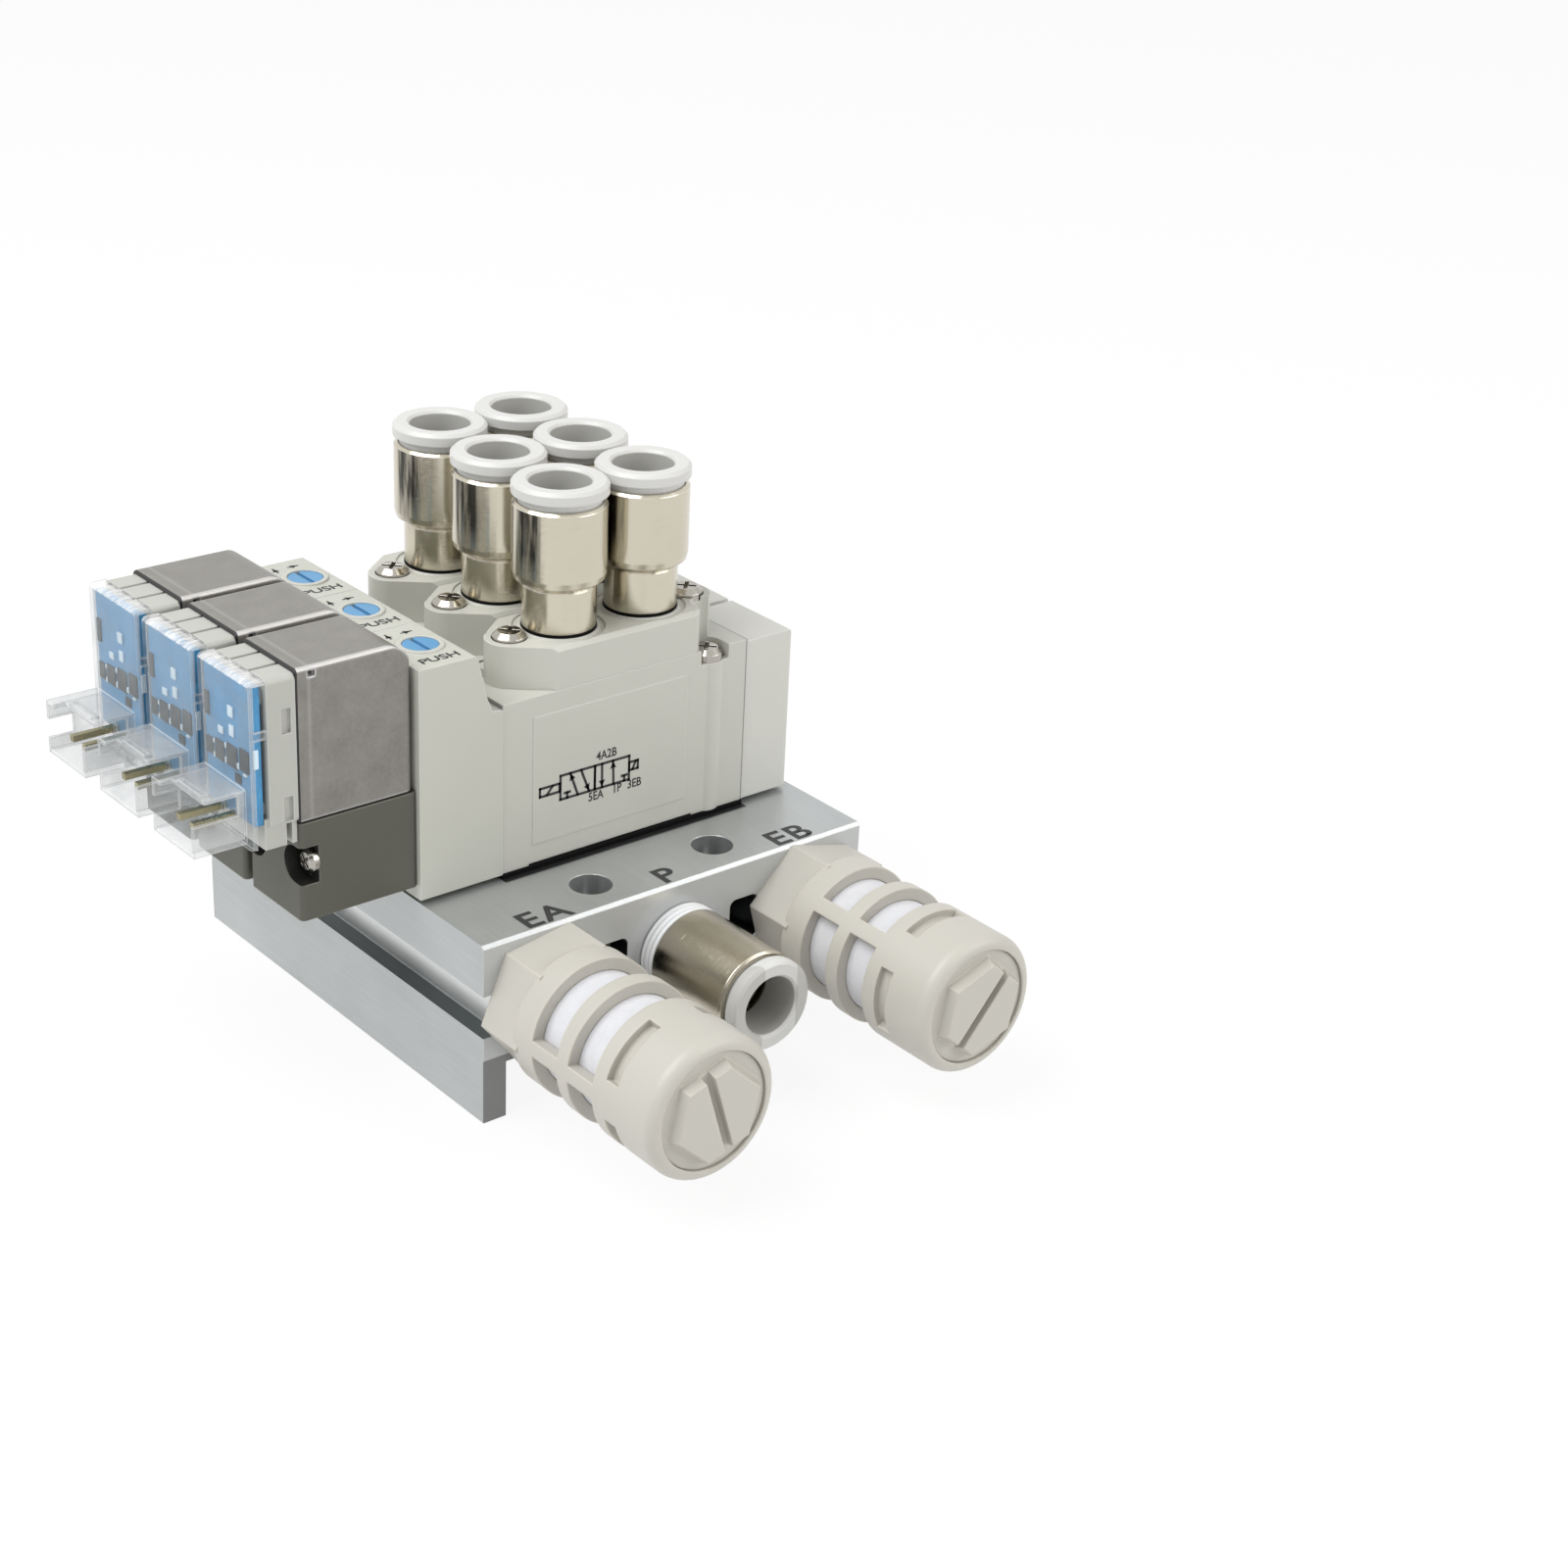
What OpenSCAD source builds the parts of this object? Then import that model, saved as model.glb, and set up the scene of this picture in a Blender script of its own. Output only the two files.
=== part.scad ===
// Solenoid valve manifold: three body-ported 5/2 valves on an aluminium bar base.
// X runs along the valves (pilots at -X), Y along the row of stations, Z up.
// The origin is the centre of the base's bolt pattern on the plane of its feet.

/* [Base] */
// Distance from one valve station to the next
pitch = 10.5; // [10.4:0.1:13]
// Distance from an outer station's centre line to the end of the base
end_margin = 15.7; // [14:0.1:22]
// Width of the base along X
base_w = 47.5; // [46:0.5:56]
// Height of the base from the feet to the valve seat
base_h = 19.6; // [19:0.1:26]
// Chamfer along the top edge of the base's cut ends
base_chamfer = 0.35; // [0.1:0.05:0.8]
// Wall thickness of the two feet
foot_t = 2.65; // [1.5:0.05:4]
// Height of the open space between the feet
foot_clear_h = 6.15; // [4:0.05:7]
// Depth of the groove along each side
groove_depth = 1.95; // [0.5:0.05:2.2]
// Height of the groove's lower edge
groove_z = 9.5; // [8:0.1:10.5]
// Height of the groove's opening
groove_h = 4.6; // [2:0.1:5]
// Depth of the port axes below the valve seat
port_drop = 7.4; // [6.5:0.1:8]
// Distance of the two exhaust ports from the supply port
exhaust_spacing = 16.5; // [15.5:0.1:17]
// Radius of the three port galleries
gallery_r = 4.3; // [3.5:0.05:4.5]
// Distance across the flats of the hexagon sockets in the port plugs
plug_socket = 5; // [4:0.5:6]
// Radius of the vertical passages from the galleries to the valves
passage_r = 1; // [0.6:0.05:1.2]
// Distance of the exhaust passages from the middle of the base
exhaust_passage_x = 12.4; // [12:0.1:13]
// Radius of the four mounting holes
mount_hole_r = 2.2; // [1.6:0.05:2.6]
// Distance of the mounting holes from the middle of the base
mount_hole_x = 7.7; // [7:0.1:9]
// Distance of the mounting holes from the ends of the base
mount_inset = 4.7; // [3.5:0.1:5]
// Width of the two lengthwise channels
channel_w = 3.7; // [2:0.1:4]
// Height of the two lengthwise channels
channel_h = 5; // [2:0.1:6]
// Corner radius of the channels
channel_r = 0.8; // [0.3:0.1:1.2]
// Distance of the channels from the middle of the base
channel_x = 8.35; // [7.8:0.05:8.6]
// Depth of the channels' centre below the valve seat
channel_drop = 6.7; // [5.5:0.1:7.5]

/* [Valve body] */
// Width of a valve across the row
valve_w = 10; // [9:0.1:10.2]
// Length of the valve body along X
body_len = 30.6; // [30:0.1:36]
// Height of the valve body
body_h = 18.3; // [17:0.1:24]
// Distance of the valve body's middle from the supply port axis
body_shift = 1; // [0:0.1:1.5]
// Thickness of the gasket under the valve body
gasket_t = 0.5; // [0.3:0.05:1]
// Height of the gasket's bead in the body's lower edge
bead_h = 0.2; // [0.1:0.05:0.8]
// Depth of the bead behind the body's face
bead_t = 1.1; // [0.6:0.1:1.6]
// Width of the gasket's lip outside the body's sides
gasket_lip = 0.15; // [0.05:0.05:0.2]
// Radius of the spool bore
spool_bore_r = 2.2; // [1.8:0.05:2.3]
// Height of the spool axis above the body's foot
spool_z = 9.1; // [8:0.1:10]
// Radial clearance of the spool
spool_clear = 0.06; // [0.02:0.01:0.1]
// Travel of the spool
spool_travel = 1.5; // [0.5:0.1:1.8]
// Distance between the outlet ports
outlet_spacing = 10.1; // [9.9:0.1:11]
// Length of the end plate along X
end_plate_len = 6.4; // [4:0.1:10]
// Step between the end plate and the body
end_plate_step = 0.3; // [0.1:0.05:0.6]
// Distance of the valve screws from the body's middle across the row
valve_screw_y = 3.5; // [3:0.05:3.6]
// Distance of the front valve screw along X from the body's middle
valve_screw_x = 11.1; // [10.8:0.1:11.4]
// Radius of the half-round boss round the front valve screw
boss_r = 1.8; // [1.5:0.05:1.85]

/* [Port plate and fittings] */
// Height of the port plate
port_plate_h = 4.5; // [3.5:0.1:6]
// Radius of the port plate's ends, round its screws
port_plate_end_r = 2.5; // [2.1:0.05:2.6]
// Angle of the port plate's sloping sides to its length
port_plate_slope = 38; // [35:1:48]
// Distance of the port plate's screws from its middle
port_screw_x = 11; // [10.9:0.05:11.2]
// Radius of a fitting's nickel-plated barrel
barrel_r = 4.75; // [4.6:0.05:4.95]
// Height of a fitting's barrel above the port plate
barrel_top = 13.2; // [12.5:0.1:18]
// Radius of a fitting's neck
neck_r = 3.75; // [3.5:0.05:4]
// Height of a fitting's neck
neck_h = 4.6; // [3:0.1:5]
// Radius of a fitting's stem in the port plate
stem_r = 2.95; // [2.6:0.05:3.1]
// Thickness of the black ring under a fitting
seat_ring_t = 0.3; // [0.2:0.05:1]
// Outer radius of a release ring's flange
ring_r = 4.85; // [4.7:0.05:4.95]
// Thickness of a release ring's flange
ring_t = 1.3; // [0.8:0.05:2]
// Radius of the hole for a 6 mm tube
tube_r = 3.1; // [3.05:0.01:3.2]
// Travel of a release ring
ring_travel = 0.6; // [0.3:0.05:1]
// Gap left under a fully pressed release ring
ring_stop_gap = 0.2; // [0.05:0.01:0.25]
// Outer radius of a release ring's sleeve
sleeve_r = 4.2; // [4:0.05:4.25]
// Radial clearance between a release ring's sleeve and its barrel
sleeve_clear = 0.08; // [0.03:0.01:0.1]
// Length of a release ring's sleeve
sleeve_len = 3.4; // [2.5:0.1:3.6]
// Length of the supply fitting's barrel in front of the base
supply_barrel_len = 12.7; // [11:0.1:16]
// Radius of the supply fitting's barrel
supply_barrel_r = 4.95; // [4.6:0.05:5.2]
// Length of the supply fitting's ridged seal ring
seal_len = 2; // [1:0.1:3]
// Depth of the chamber for the collet and the tube seal in a fitting
chamber_d = 7; // [6.8:0.1:7.1]
// Depth at which a tube stops in a fitting
tube_stop_d = 9.6; // [8.5:0.1:10.5]

/* [Pilot end] */
// Length of the adapter plate with the manual override
adapter_len = 9.6; // [9:0.1:12]
// Gap between the adapter plates of neighbouring valves
adapter_gap = 0.1; // [0.05:0.05:0.4]
// Height of the adapter plate
adapter_h = 24.3; // [22:0.1:30]
// Length of the adapter plate's flat top
adapter_top_len = 6.7; // [6.2:0.1:7]
// Radius of the manual override button
override_r = 1.8; // [1.5:0.05:2]
// Radial clearance of the manual override button
override_clear = 0.05; // [0.02:0.01:0.1]
// Push travel of the manual override button
override_travel = 0.6; // [0.3:0.05:1]
// Distance of the override's axis from the adapter's pilot side
override_x = 3.6; // [3:0.1:4]
// Height of the raised lip round the override
override_lip = 0.2; // [0.1:0.05:0.4]
// Gap between the coil cover and the adapter
coil_gap = 0.35; // [0.1:0.05:0.6]
// Gap between the coil cover and the pilot body under it
coil_lift = 0.25; // [0.1:0.05:0.5]
// Length of the coil cover
coil_len = 12.6; // [11:0.1:16]
// Height of the coil cover
coil_h = 15.45; // [13:0.05:20]
// Width of the coil cover
coil_w = 9.3; // [8.5:0.1:9.8]
// Radius of the coil cover's corner next to the adapter
coil_corner_r = 3; // [1:0.1:3.4]
// Radius of the coil cover's upright edges next to the adapter
coil_side_r = 0.8; // [0.3:0.1:1.6]
// Radius of the coil cover's other edges
coil_edge_r = 0.5; // [0.2:0.05:0.9]
// Height of the pilot body
pilot_h = 10.2; // [8.5:0.1:12]
// Width of the pilot body
pilot_w = 9.4; // [8.5:0.1:9.8]
// Gap under the pilot body
pilot_lift = 1.4; // [0.5:0.1:2.5]
// Height of the pilot screws above the pilot body's foot
pilot_screw_z = 5.7; // [4:0.1:7]
// Distance of the pilot screws from the valve's middle plane
pilot_screw_y = 3.6; // [3.2:0.05:3.7]
// Radius of the recess round a pilot screw's head
pilot_recess_r = 1.95; // [1.45:0.05:2.1]
// Depth of the recess round a pilot screw's head
pilot_recess_d = 2; // [1.4:0.1:3]

/* [Connector] */
// Length of the terminal housing
terminal_len = 3; // [2:0.1:5]
// Height of the terminal housing
terminal_h = 15; // [14:0.1:18]
// Distance of the housing's two raised slots above its foot, lower and upper
terminal_slots_z = [0.4, 9.3]; // [0.2:0.1:12]
// Thickness of the circuit board
board_t = 0.9; // [0.6:0.1:1.6]
// Width of the circuit board
board_w = 8.4; // [7:0.1:8.5]
// Height of the circuit board
board_h = 13.9; // [12.5:0.1:14]
// Distance between the terminal housing and the circuit board
board_standoff = 0.45; // [0.2:0.05:2]
// Width of the clear connector cover
cover_w = 9.2; // [9.1:0.1:9.8]
// Wall thickness of the clear connector cover
cover_t = 0.4; // [0.3:0.05:0.6]
// Radius of the clear cover's upper edge
cover_edge_r = 0.8; // [0.5:0.1:1.2]
// Gap between the circuit board and the cover's outer wall
board_gap = 0.25; // [0.15:0.05:1.5]
// Length of the plug socket in front of the cover
socket_len = 5.5; // [4:0.1:7]
// Width of the plug socket
socket_w = 7.5; // [6.5:0.1:8]
// Height of the plug socket
socket_h = 5.5; // [4.5:0.1:6]
// Height of the socket's lower side wall
socket_low_h = 3.1; // [2.8:0.1:3.6]
// Depth of the cut-out in the socket's roof, for the plug's latch
latch_d = 1.25; // [0.8:0.05:2]
// Thickness of a connector pin
pin_t = 0.64; // [0.4:0.02:0.8]
// Distance between the two pins of a plug socket
pin_pitch = 2.5; // [2:0.1:3]
// Gap between a pin and its hole in the cover
pin_clear = 0.1; // [0.05:0.05:0.3]

/* [Silencers] */
// Distance across the flats of a silencer's hexagon
silencer_hex = 13.2; // [12:0.1:13.8]
// Length of a silencer's hexagon
silencer_hex_len = 5.8; // [3:0.1:8]
// Outer radius of a silencer's cage
cage_r = 7.4; // [6.8:0.05:7.6]
// Wall thickness of a silencer's cage
cage_t = 1.3; // [1:0.1:1.4]
// Length of a silencer from the base to its rim
silencer_len = 26.5; // [26:0.1:36]
// Length of a window row along the silencer
window_len = 3.9; // [2:0.1:4.2]
// Distance from one window row to the next
window_pitch = 5.6; // [5.5:0.1:5.8]
// Angle that each of the two narrow bars between the windows takes
narrow_bar_angle = 13; // [6:1:30]
// Angle that each of the two wide bars between the windows takes
wide_bar_angle = 39; // [10:1:60]
// Angle that one blind slot takes
blind_angle = 54; // [30:1:60]
// Distance of the first windows from the hexagon
window_start = 2.4; // [1:0.1:2.5]
// Length of the blind slots next to the rim
blind_len = 1.7; // [0.8:0.1:2]
// Depth of the blind slots next to the rim
blind_depth = 0.8; // [0.3:0.1:0.9]
// Radius of a silencer's end cap
cap_r = 6.05; // [5.5:0.05:6.05]
// Depth of the end cap's face behind the rim
cap_inset = 0.3; // [0.1:0.05:0.8]
// Distance across the flats of the cap's raised hexagon
cap_hex = 9.3; // [6:0.1:9.4]
// Slope of the raised hexagon's sides
cap_slope = 22; // [5:1:30]
// Height of the cap's raised hexagon
cap_hex_h = 1.2; // [0.6:0.1:2]
// Width of the screwdriver slot
cap_slot_w = 1; // [0.6:0.1:1.5]
// Depth of the screwdriver slot
cap_slot_d = 1; // [0.4:0.1:1.1]
// Turn of the left silencer about its axis
left_turn = -2; // [-45:1:45]
// Turn of the right silencer about its axis
right_turn = -44; // [-90:1:45]
// Turn of the left silencer's hexagon against its cage
left_hex_turn = 10; // [0:1:59]
// Turn of the right silencer's hexagon against its cage
right_hex_turn = 29; // [0:1:59]
// Turn of the left silencer's end cap
left_cap_turn = 17; // [-90:1:90]
// Turn of the right silencer's end cap
right_cap_turn = -41; // [-90:1:90]
// Clearance between a silencer's cage and what sits in it
silencer_clear = 0.05; // [0.02:0.01:0.1]

/* [Screws] */
// Radius of a pan head
head_r = 1.7; // [1.4:0.05:1.75]
// Height of a pan head
head_h = 1.25; // [0.8:0.05:1.5]
// Radius of a screw's shank
shank_r = 0.95; // [0.7:0.05:1.05]
// Radial clearance of a screw in its hole
screw_clear = 0.1; // [0.05:0.01:0.15]
// Length of the screw thread in the base
screw_grip = 4; // [2:0.1:4.2]
// Radius of a pilot screw's head
pilot_head_r = 1.25; // [1:0.05:1.4]
// Height of a pilot screw's head
pilot_head_h = 0.9; // [0.6:0.05:1.2]

/* [Hidden] */
$fn = 48;

cut = 0.01;
stations = [1, 2, 3];
outlets = [-1, 1];
base_len = 2 * (pitch + end_margin);
front_y = -base_len / 2;
port_z = base_h - port_drop;
mount_hole_y = base_len / 2 - mount_inset;

body_z = base_h + gasket_t;
body_top = body_z + body_h;
body_left = body_shift - body_len / 2;
body_right = body_shift + body_len / 2;
plate_top = body_top + port_plate_h;
spool_len = body_len - spool_travel - 0.6;
bead_left = body_left + 3.3;
bead_right = body_shift + 8.6;
screw_seat_z = body_top - head_h - 0.3;

adapter_left = body_left - adapter_len;
adapter_top = body_z + adapter_h;
override_axis_x = adapter_left + override_x;
override_floor_z = adapter_top - 4.2;
override_z = override_floor_z + override_travel + 0.1;
override_top = adapter_top + 0.1;
override_groove_z = adapter_top - 2.4;

pilot_z = body_z + pilot_lift;
pilot_left = adapter_left - coil_gap - coil_len;
coil_right = adapter_left - coil_gap;
coil_z = pilot_z + pilot_h + coil_lift;

terminal_left = pilot_left - terminal_len;
terminal_z = coil_z + 0.05;
terminal_w = coil_w;
board_x = terminal_left - board_standoff;
board_z = terminal_z + 0.5;
cover_left = board_x - board_t - board_gap - cover_t;
cover_top = terminal_z + terminal_h;
socket_z = terminal_z - 1.2;
cover_z = socket_z - 0.5;
socket_y = -socket_w / 2 - 0.05;
pin_z = socket_z + 2;

ring_gap = ring_travel + ring_stop_gap;
chamber_r = sleeve_r - 0.15;
mouth_r = sleeve_r + sleeve_clear;
mouth_d = sleeve_len;
flow_r = 1.9;
collet_end = chamber_d - 1.5;
port_depth = 6;
cap_body_t = 2.2;
cap_face = silencer_len - cap_inset;
window_angle = 180 - narrow_bar_angle - wide_bar_angle;

// Middle plane of a station
function station_y(i) = (i - 2) * pitch;
// X of outlet a (side -1) or b (side 1)
function outlet_x(side) = body_shift + side * outlet_spacing / 2;
// Positions of the two valve screws of a station, on a diagonal
function valve_screws_at(i) = [
  [body_shift + valve_screw_x, station_y(i) - valve_screw_y],
  [body_left + head_r + 0.2, station_y(i) + valve_screw_y]];
function port_screws_at(i) = [for (s = outlets) [body_shift + s * port_screw_x, station_y(i)]];

// Box with its lower corner at p
module box(p, size) {
  translate(p) cube(size);
}

// Flat rectangle with round corners, centred
module round_rect(w, h, r) {
  square([w - 2 * r, h], center = true);
  square([w, h - 2 * r], center = true);
  for (x = [-1, 1], y = [-1, 1])
    translate([x * (w / 2 - r), y * (h / 2 - r)]) circle(r);
}

// Profile drawn in X and Z, pulled along Y and centred
module along_row(w) {
  rotate([90, 0, 0]) linear_extrude(w, center = true) children();
}

// Local Z turned to point out of the base's front face at a port
module at_port(x) {
  translate([x, front_y, port_z]) rotate([90, 0, 0]) children();
}

// Ring about Z
module ring(r_out, r_in, z0, z1) {
  rotate_extrude() translate([r_in, z0]) square([r_out - r_in, z1 - z0]);
}

// Pan head screw: head above z = 0, shank below, cross recess in the head
module pan_screw(r, h, shank, len) {
  edge = h * 0.4;
  difference() {
    rotate_extrude()
      polygon([[0, -len], [shank, -len], [shank, 0], [r, 0], [r, h - edge], [r - edge, h], [0, h]]);
    for (a = [0, 90])
      rotate(a + 45) translate([-r * 0.62, -r * 0.13, h * 0.4]) cube([r * 1.24, r * 0.26, h]);
  }
}

// Base: one extrusion with feet, side grooves and channels, then bored
module base_profile() {
  difference() {
    translate([-base_w / 2, 0]) square([base_w, base_h]);
    translate([foot_t - base_w / 2, -cut]) square([base_w - 2 * foot_t, foot_clear_h + cut]);
    for (s = [-1, 1]) {
      translate([s * (base_w / 2 - groove_depth / 2 + cut), groove_z + groove_h / 2])
        square([groove_depth + 2 * cut, groove_h], center = true);
      translate([s * channel_x, base_h - channel_drop]) round_rect(channel_w, channel_h, channel_r);
    }
  }
}

module base_end_chamfer() {
  for (s = [-1, 1])
    translate([0, s * base_len / 2, base_h]) rotate([45, 0, 0])
      cube([base_w + 1, base_chamfer * sqrt(2), base_chamfer * sqrt(2)], center = true);
}

module manifold_base() {
  color("silver") difference() {
    along_row(base_len) base_profile();
    base_end_chamfer();
    for (x = [-exhaust_spacing, 0, exhaust_spacing])
      translate([x, 0, port_z]) rotate([90, 0, 0])
        cylinder(r = gallery_r, h = base_len + 1, center = true);
    for (x = [-mount_hole_x, mount_hole_x], y = [-mount_hole_y, mount_hole_y])
      translate([x, y, -1]) cylinder(r = mount_hole_r, h = base_h + 2);
    for (i = stations) {
      for (x = [-exhaust_passage_x, body_shift, exhaust_passage_x])
        translate([x, station_y(i), port_z]) cylinder(r = passage_r, h = port_drop + 1);
      for (p = valve_screws_at(i))
        translate([p[0], p[1], base_h - screw_grip - 0.2])
          cylinder(r = shank_r + screw_clear, h = screw_grip + 1);
    }
  }
}

module gaskets() {
  least_gap = 0.1;
  w = min(valve_w + 2 * gasket_lip, pitch - least_gap);
  color("black") for (i = stations) translate([0, station_y(i), 0]) difference() {
    union() {
      box([body_left, -w / 2, base_h], [body_len, w, gasket_t]);
      for (s = [-1, 1])
        translate([(bead_left + bead_right) / 2, s * (valve_w - bead_t) / 2, body_z + bead_h / 2])
          cube([bead_right - bead_left, bead_t, bead_h], center = true);
    }
    for (x = [-exhaust_passage_x, body_shift, exhaust_passage_x])
      translate([x, 0, base_h - 1]) cylinder(r = passage_r + 0.3, h = gasket_t + 2);
    for (p = valve_screws_at(i))
      translate([p[0], p[1] - station_y(i), base_h - 1])
        cylinder(r = shank_r + screw_clear, h = gasket_t + 2);
  }
}

// Plugs with a hexagon socket close the galleries at the back
module port_plugs() {
  color("gray") for (x = [-exhaust_spacing, 0, exhaust_spacing])
    translate([x, base_len / 2 - port_depth - 0.2, port_z]) rotate([-90, 0, 0]) difference() {
      cylinder(r = gallery_r - silencer_clear, h = port_depth);
      translate([0, 0, port_depth / 2]) cylinder(r = plug_socket / sqrt(3), h = port_depth, $fn = 6);
    }
}

// Pockets round the heads of the valve screws, open to the valve's sides
module valve_screw_pockets(i, z, h) {
  r = head_r + screw_clear;
  for (p = valve_screws_at(i)) translate([p[0], p[1] - station_y(i), z]) {
    cylinder(r = r, h = h);
    rotate(p[1] < station_y(i) ? 180 : 0) translate([-r, 0, 0]) cube([2 * r, 4, h]);
  }
}

// Valve body with its half-round screw boss, ports and spool bore
module valve_body(i) {
  panel_rise = 0.06;
  panel_edge = 2.2;
  color("gainsboro") translate([0, station_y(i), 0]) difference() {
    union() {
      box([body_left, -valve_w / 2, body_z], [body_len, valve_w, body_h]);
      translate([body_shift + valve_screw_x, -valve_screw_y, body_z])
        cylinder(r = boss_r, h = screw_seat_z - body_z);
      box([bead_left + 0.4, -valve_w / 2 - panel_rise, body_z + panel_edge],
        [bead_right - bead_left - 1.4, 0.5, body_h - 2 * panel_edge]);
    }
    for (s = [-1, 1])
      translate([(bead_left + bead_right) / 2, s * (valve_w / 2 - bead_t / 2 + 0.5), body_z])
        cube([bead_right - bead_left, bead_t + 1, 2 * bead_h], center = true);
    translate([body_left - 1, 0, body_z + spool_z]) rotate([0, 90, 0])
      cylinder(r = spool_bore_r, h = body_len + 2);
    for (x = [-exhaust_passage_x, body_shift, exhaust_passage_x])
      translate([x, 0, body_z - 1]) cylinder(r = passage_r, h = spool_z + 1);
    for (s = outlets)
      translate([outlet_x(s), 0, body_z + spool_z]) cylinder(r = flow_r - 0.5, h = body_h);
    for (p = valve_screws_at(i))
      translate([p[0], p[1] - station_y(i), body_z - 1]) cylinder(r = shank_r + screw_clear, h = body_h + 2);
    valve_screw_pockets(i, screw_seat_z, body_h);
    for (s = outlets)
      translate([body_shift + s * port_screw_x, 0, body_top - 3])
        cylinder(r = shank_r + screw_clear, h = 4);
  }
}

// Spool with five lands, at the pilot end of its travel
module spool(i) {
  land = (spool_len - 4 * 2.6) / 5;
  r = spool_bore_r - spool_clear;
  color("slategray") translate([body_left + 0.3, station_y(i), body_z + spool_z])
    rotate([0, 90, 0]) {
      cylinder(r = r - 0.9, h = spool_len);
      for (k = [0 : 4]) translate([0, 0, k * (land + 2.6)]) cylinder(r = r, h = land);
    }
}

module end_plate(i) {
  w = valve_w - end_plate_step;
  h = body_h - end_plate_step;
  edge = 0.5;
  color("gainsboro") translate([body_right, station_y(i), body_z]) intersection() {
    along_row(w) polygon([[0, 0], [end_plate_len, 0], [end_plate_len, h - edge],
      [end_plate_len - edge, h], [0, h]]);
    linear_extrude(h + 1) translate([end_plate_len / 2 - 1, 0])
      round_rect(end_plate_len + 2, w, 0.6);
  }
}

// Port plate outline: round ends about the screws, with sloping sides to the full width
module port_plate_outline() {
  half_w = valve_w / 2;
  end_y = port_plate_end_r * cos(port_plate_slope);
  end_x = port_screw_x + port_plate_end_r * sin(port_plate_slope);
  half_len = end_x - (half_w - end_y) / tan(port_plate_slope);
  translate([body_shift, 0]) {
    for (s = [-1, 1]) translate([s * port_screw_x, 0]) circle(port_plate_end_r);
    polygon([[-half_len, -half_w], [half_len, -half_w], [end_x, -end_y], [end_x, end_y],
      [half_len, half_w], [-half_len, half_w], [-end_x, end_y], [-end_x, -end_y]]);
  }
}

module port_plate(i) {
  edge = 0.4;
  color("gainsboro") translate([0, station_y(i), 0]) difference() {
    translate([0, 0, body_top]) linear_extrude(port_plate_h) port_plate_outline();
    for (s = [-1, 1])
      translate([body_shift, s * valve_w / 2, plate_top]) rotate([45, 0, 0])
        cube([2 * port_screw_x, edge * sqrt(2), edge * sqrt(2)], center = true);
    for (s = outlets) translate([outlet_x(s), 0, 0]) {
      translate([0, 0, body_top - 1]) cylinder(r = stem_r + 0.05, h = port_plate_h + 2);
      translate([0, 0, plate_top - 0.15]) ring(neck_r + 0.9, neck_r + 0.25, 0, 1);
    }
    for (s = outlets) translate([body_shift + s * port_screw_x, 0, 0]) {
      translate([0, 0, body_top - 1]) cylinder(r = shank_r + screw_clear, h = port_plate_h + 2);
      translate([0, 0, plate_top - 0.5]) cylinder(r = head_r + screw_clear, h = 2);
    }
    valve_screw_pockets(i, body_top - 1, port_plate_h + 2);
  }
}

// Hollow of a push-in fitting, measured down from the top of its barrel
module fitting_hollow(top, bottom) {
  rotate_extrude() polygon([
    [0, bottom - 1], [flow_r, bottom - 1], [flow_r, top - tube_stop_d],
    [tube_r, top - tube_stop_d], [tube_r, top - chamber_d],
    [chamber_r, top - chamber_d], [chamber_r, top - mouth_d],
    [mouth_r, top - mouth_d], [mouth_r, top + 1], [0, top + 1]]);
}

// Outlet fitting: stem, neck and barrel turned from one piece
module outlet_fitting() {
  edge = 0.3;
  difference() {
    rotate_extrude() polygon([
      [0, 0.4 - port_plate_h], [stem_r, 0.4 - port_plate_h], [stem_r, seat_ring_t],
      [neck_r, seat_ring_t], [neck_r, neck_h], [neck_r - 0.1, neck_h],
      [neck_r - 0.1, neck_h + 0.12], [neck_r, neck_h + 0.12],
      [barrel_r - 0.15, neck_h + 0.75], [barrel_r, neck_h + 1.4],
      [barrel_r, barrel_top - edge], [barrel_r - edge, barrel_top], [0, barrel_top]]);
    fitting_hollow(barrel_top, -port_plate_h);
  }
}

module fitting_barrels(i) {
  color("tan") for (s = outlets)
    translate([outlet_x(s), station_y(i), plate_top]) outlet_fitting();
}

// Release ring standing on a barrel whose top is at z = 0
module release_ring_shape() {
  soft = 0.35;
  rotate_extrude() polygon([
    [tube_r, ring_gap - sleeve_len], [sleeve_r - 0.2, ring_gap - sleeve_len],
    [sleeve_r, ring_gap - sleeve_len + 0.3], [sleeve_r, ring_gap],
    [ring_r, ring_gap], [ring_r, ring_gap + ring_t - soft],
    [ring_r - soft, ring_gap + ring_t], [tube_r + 0.3, ring_gap + ring_t],
    [tube_r, ring_gap + ring_t - 0.3]]);
}

module release_ring(i, side) {
  color("white") translate([outlet_x(side), station_y(i), plate_top + barrel_top])
    release_ring_shape();
}

// Black rings that the outlet fittings stand on
module seat_rings() {
  color("black") for (i = stations, s = outlets) translate([outlet_x(s), station_y(i), plate_top])
    ring(neck_r + 0.05, stem_r + 0.05, 0, seat_ring_t);
}

module release_ring_p() {
  color("white") at_port(0) translate([0, 0, supply_barrel_len]) release_ring_shape();
}

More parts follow.
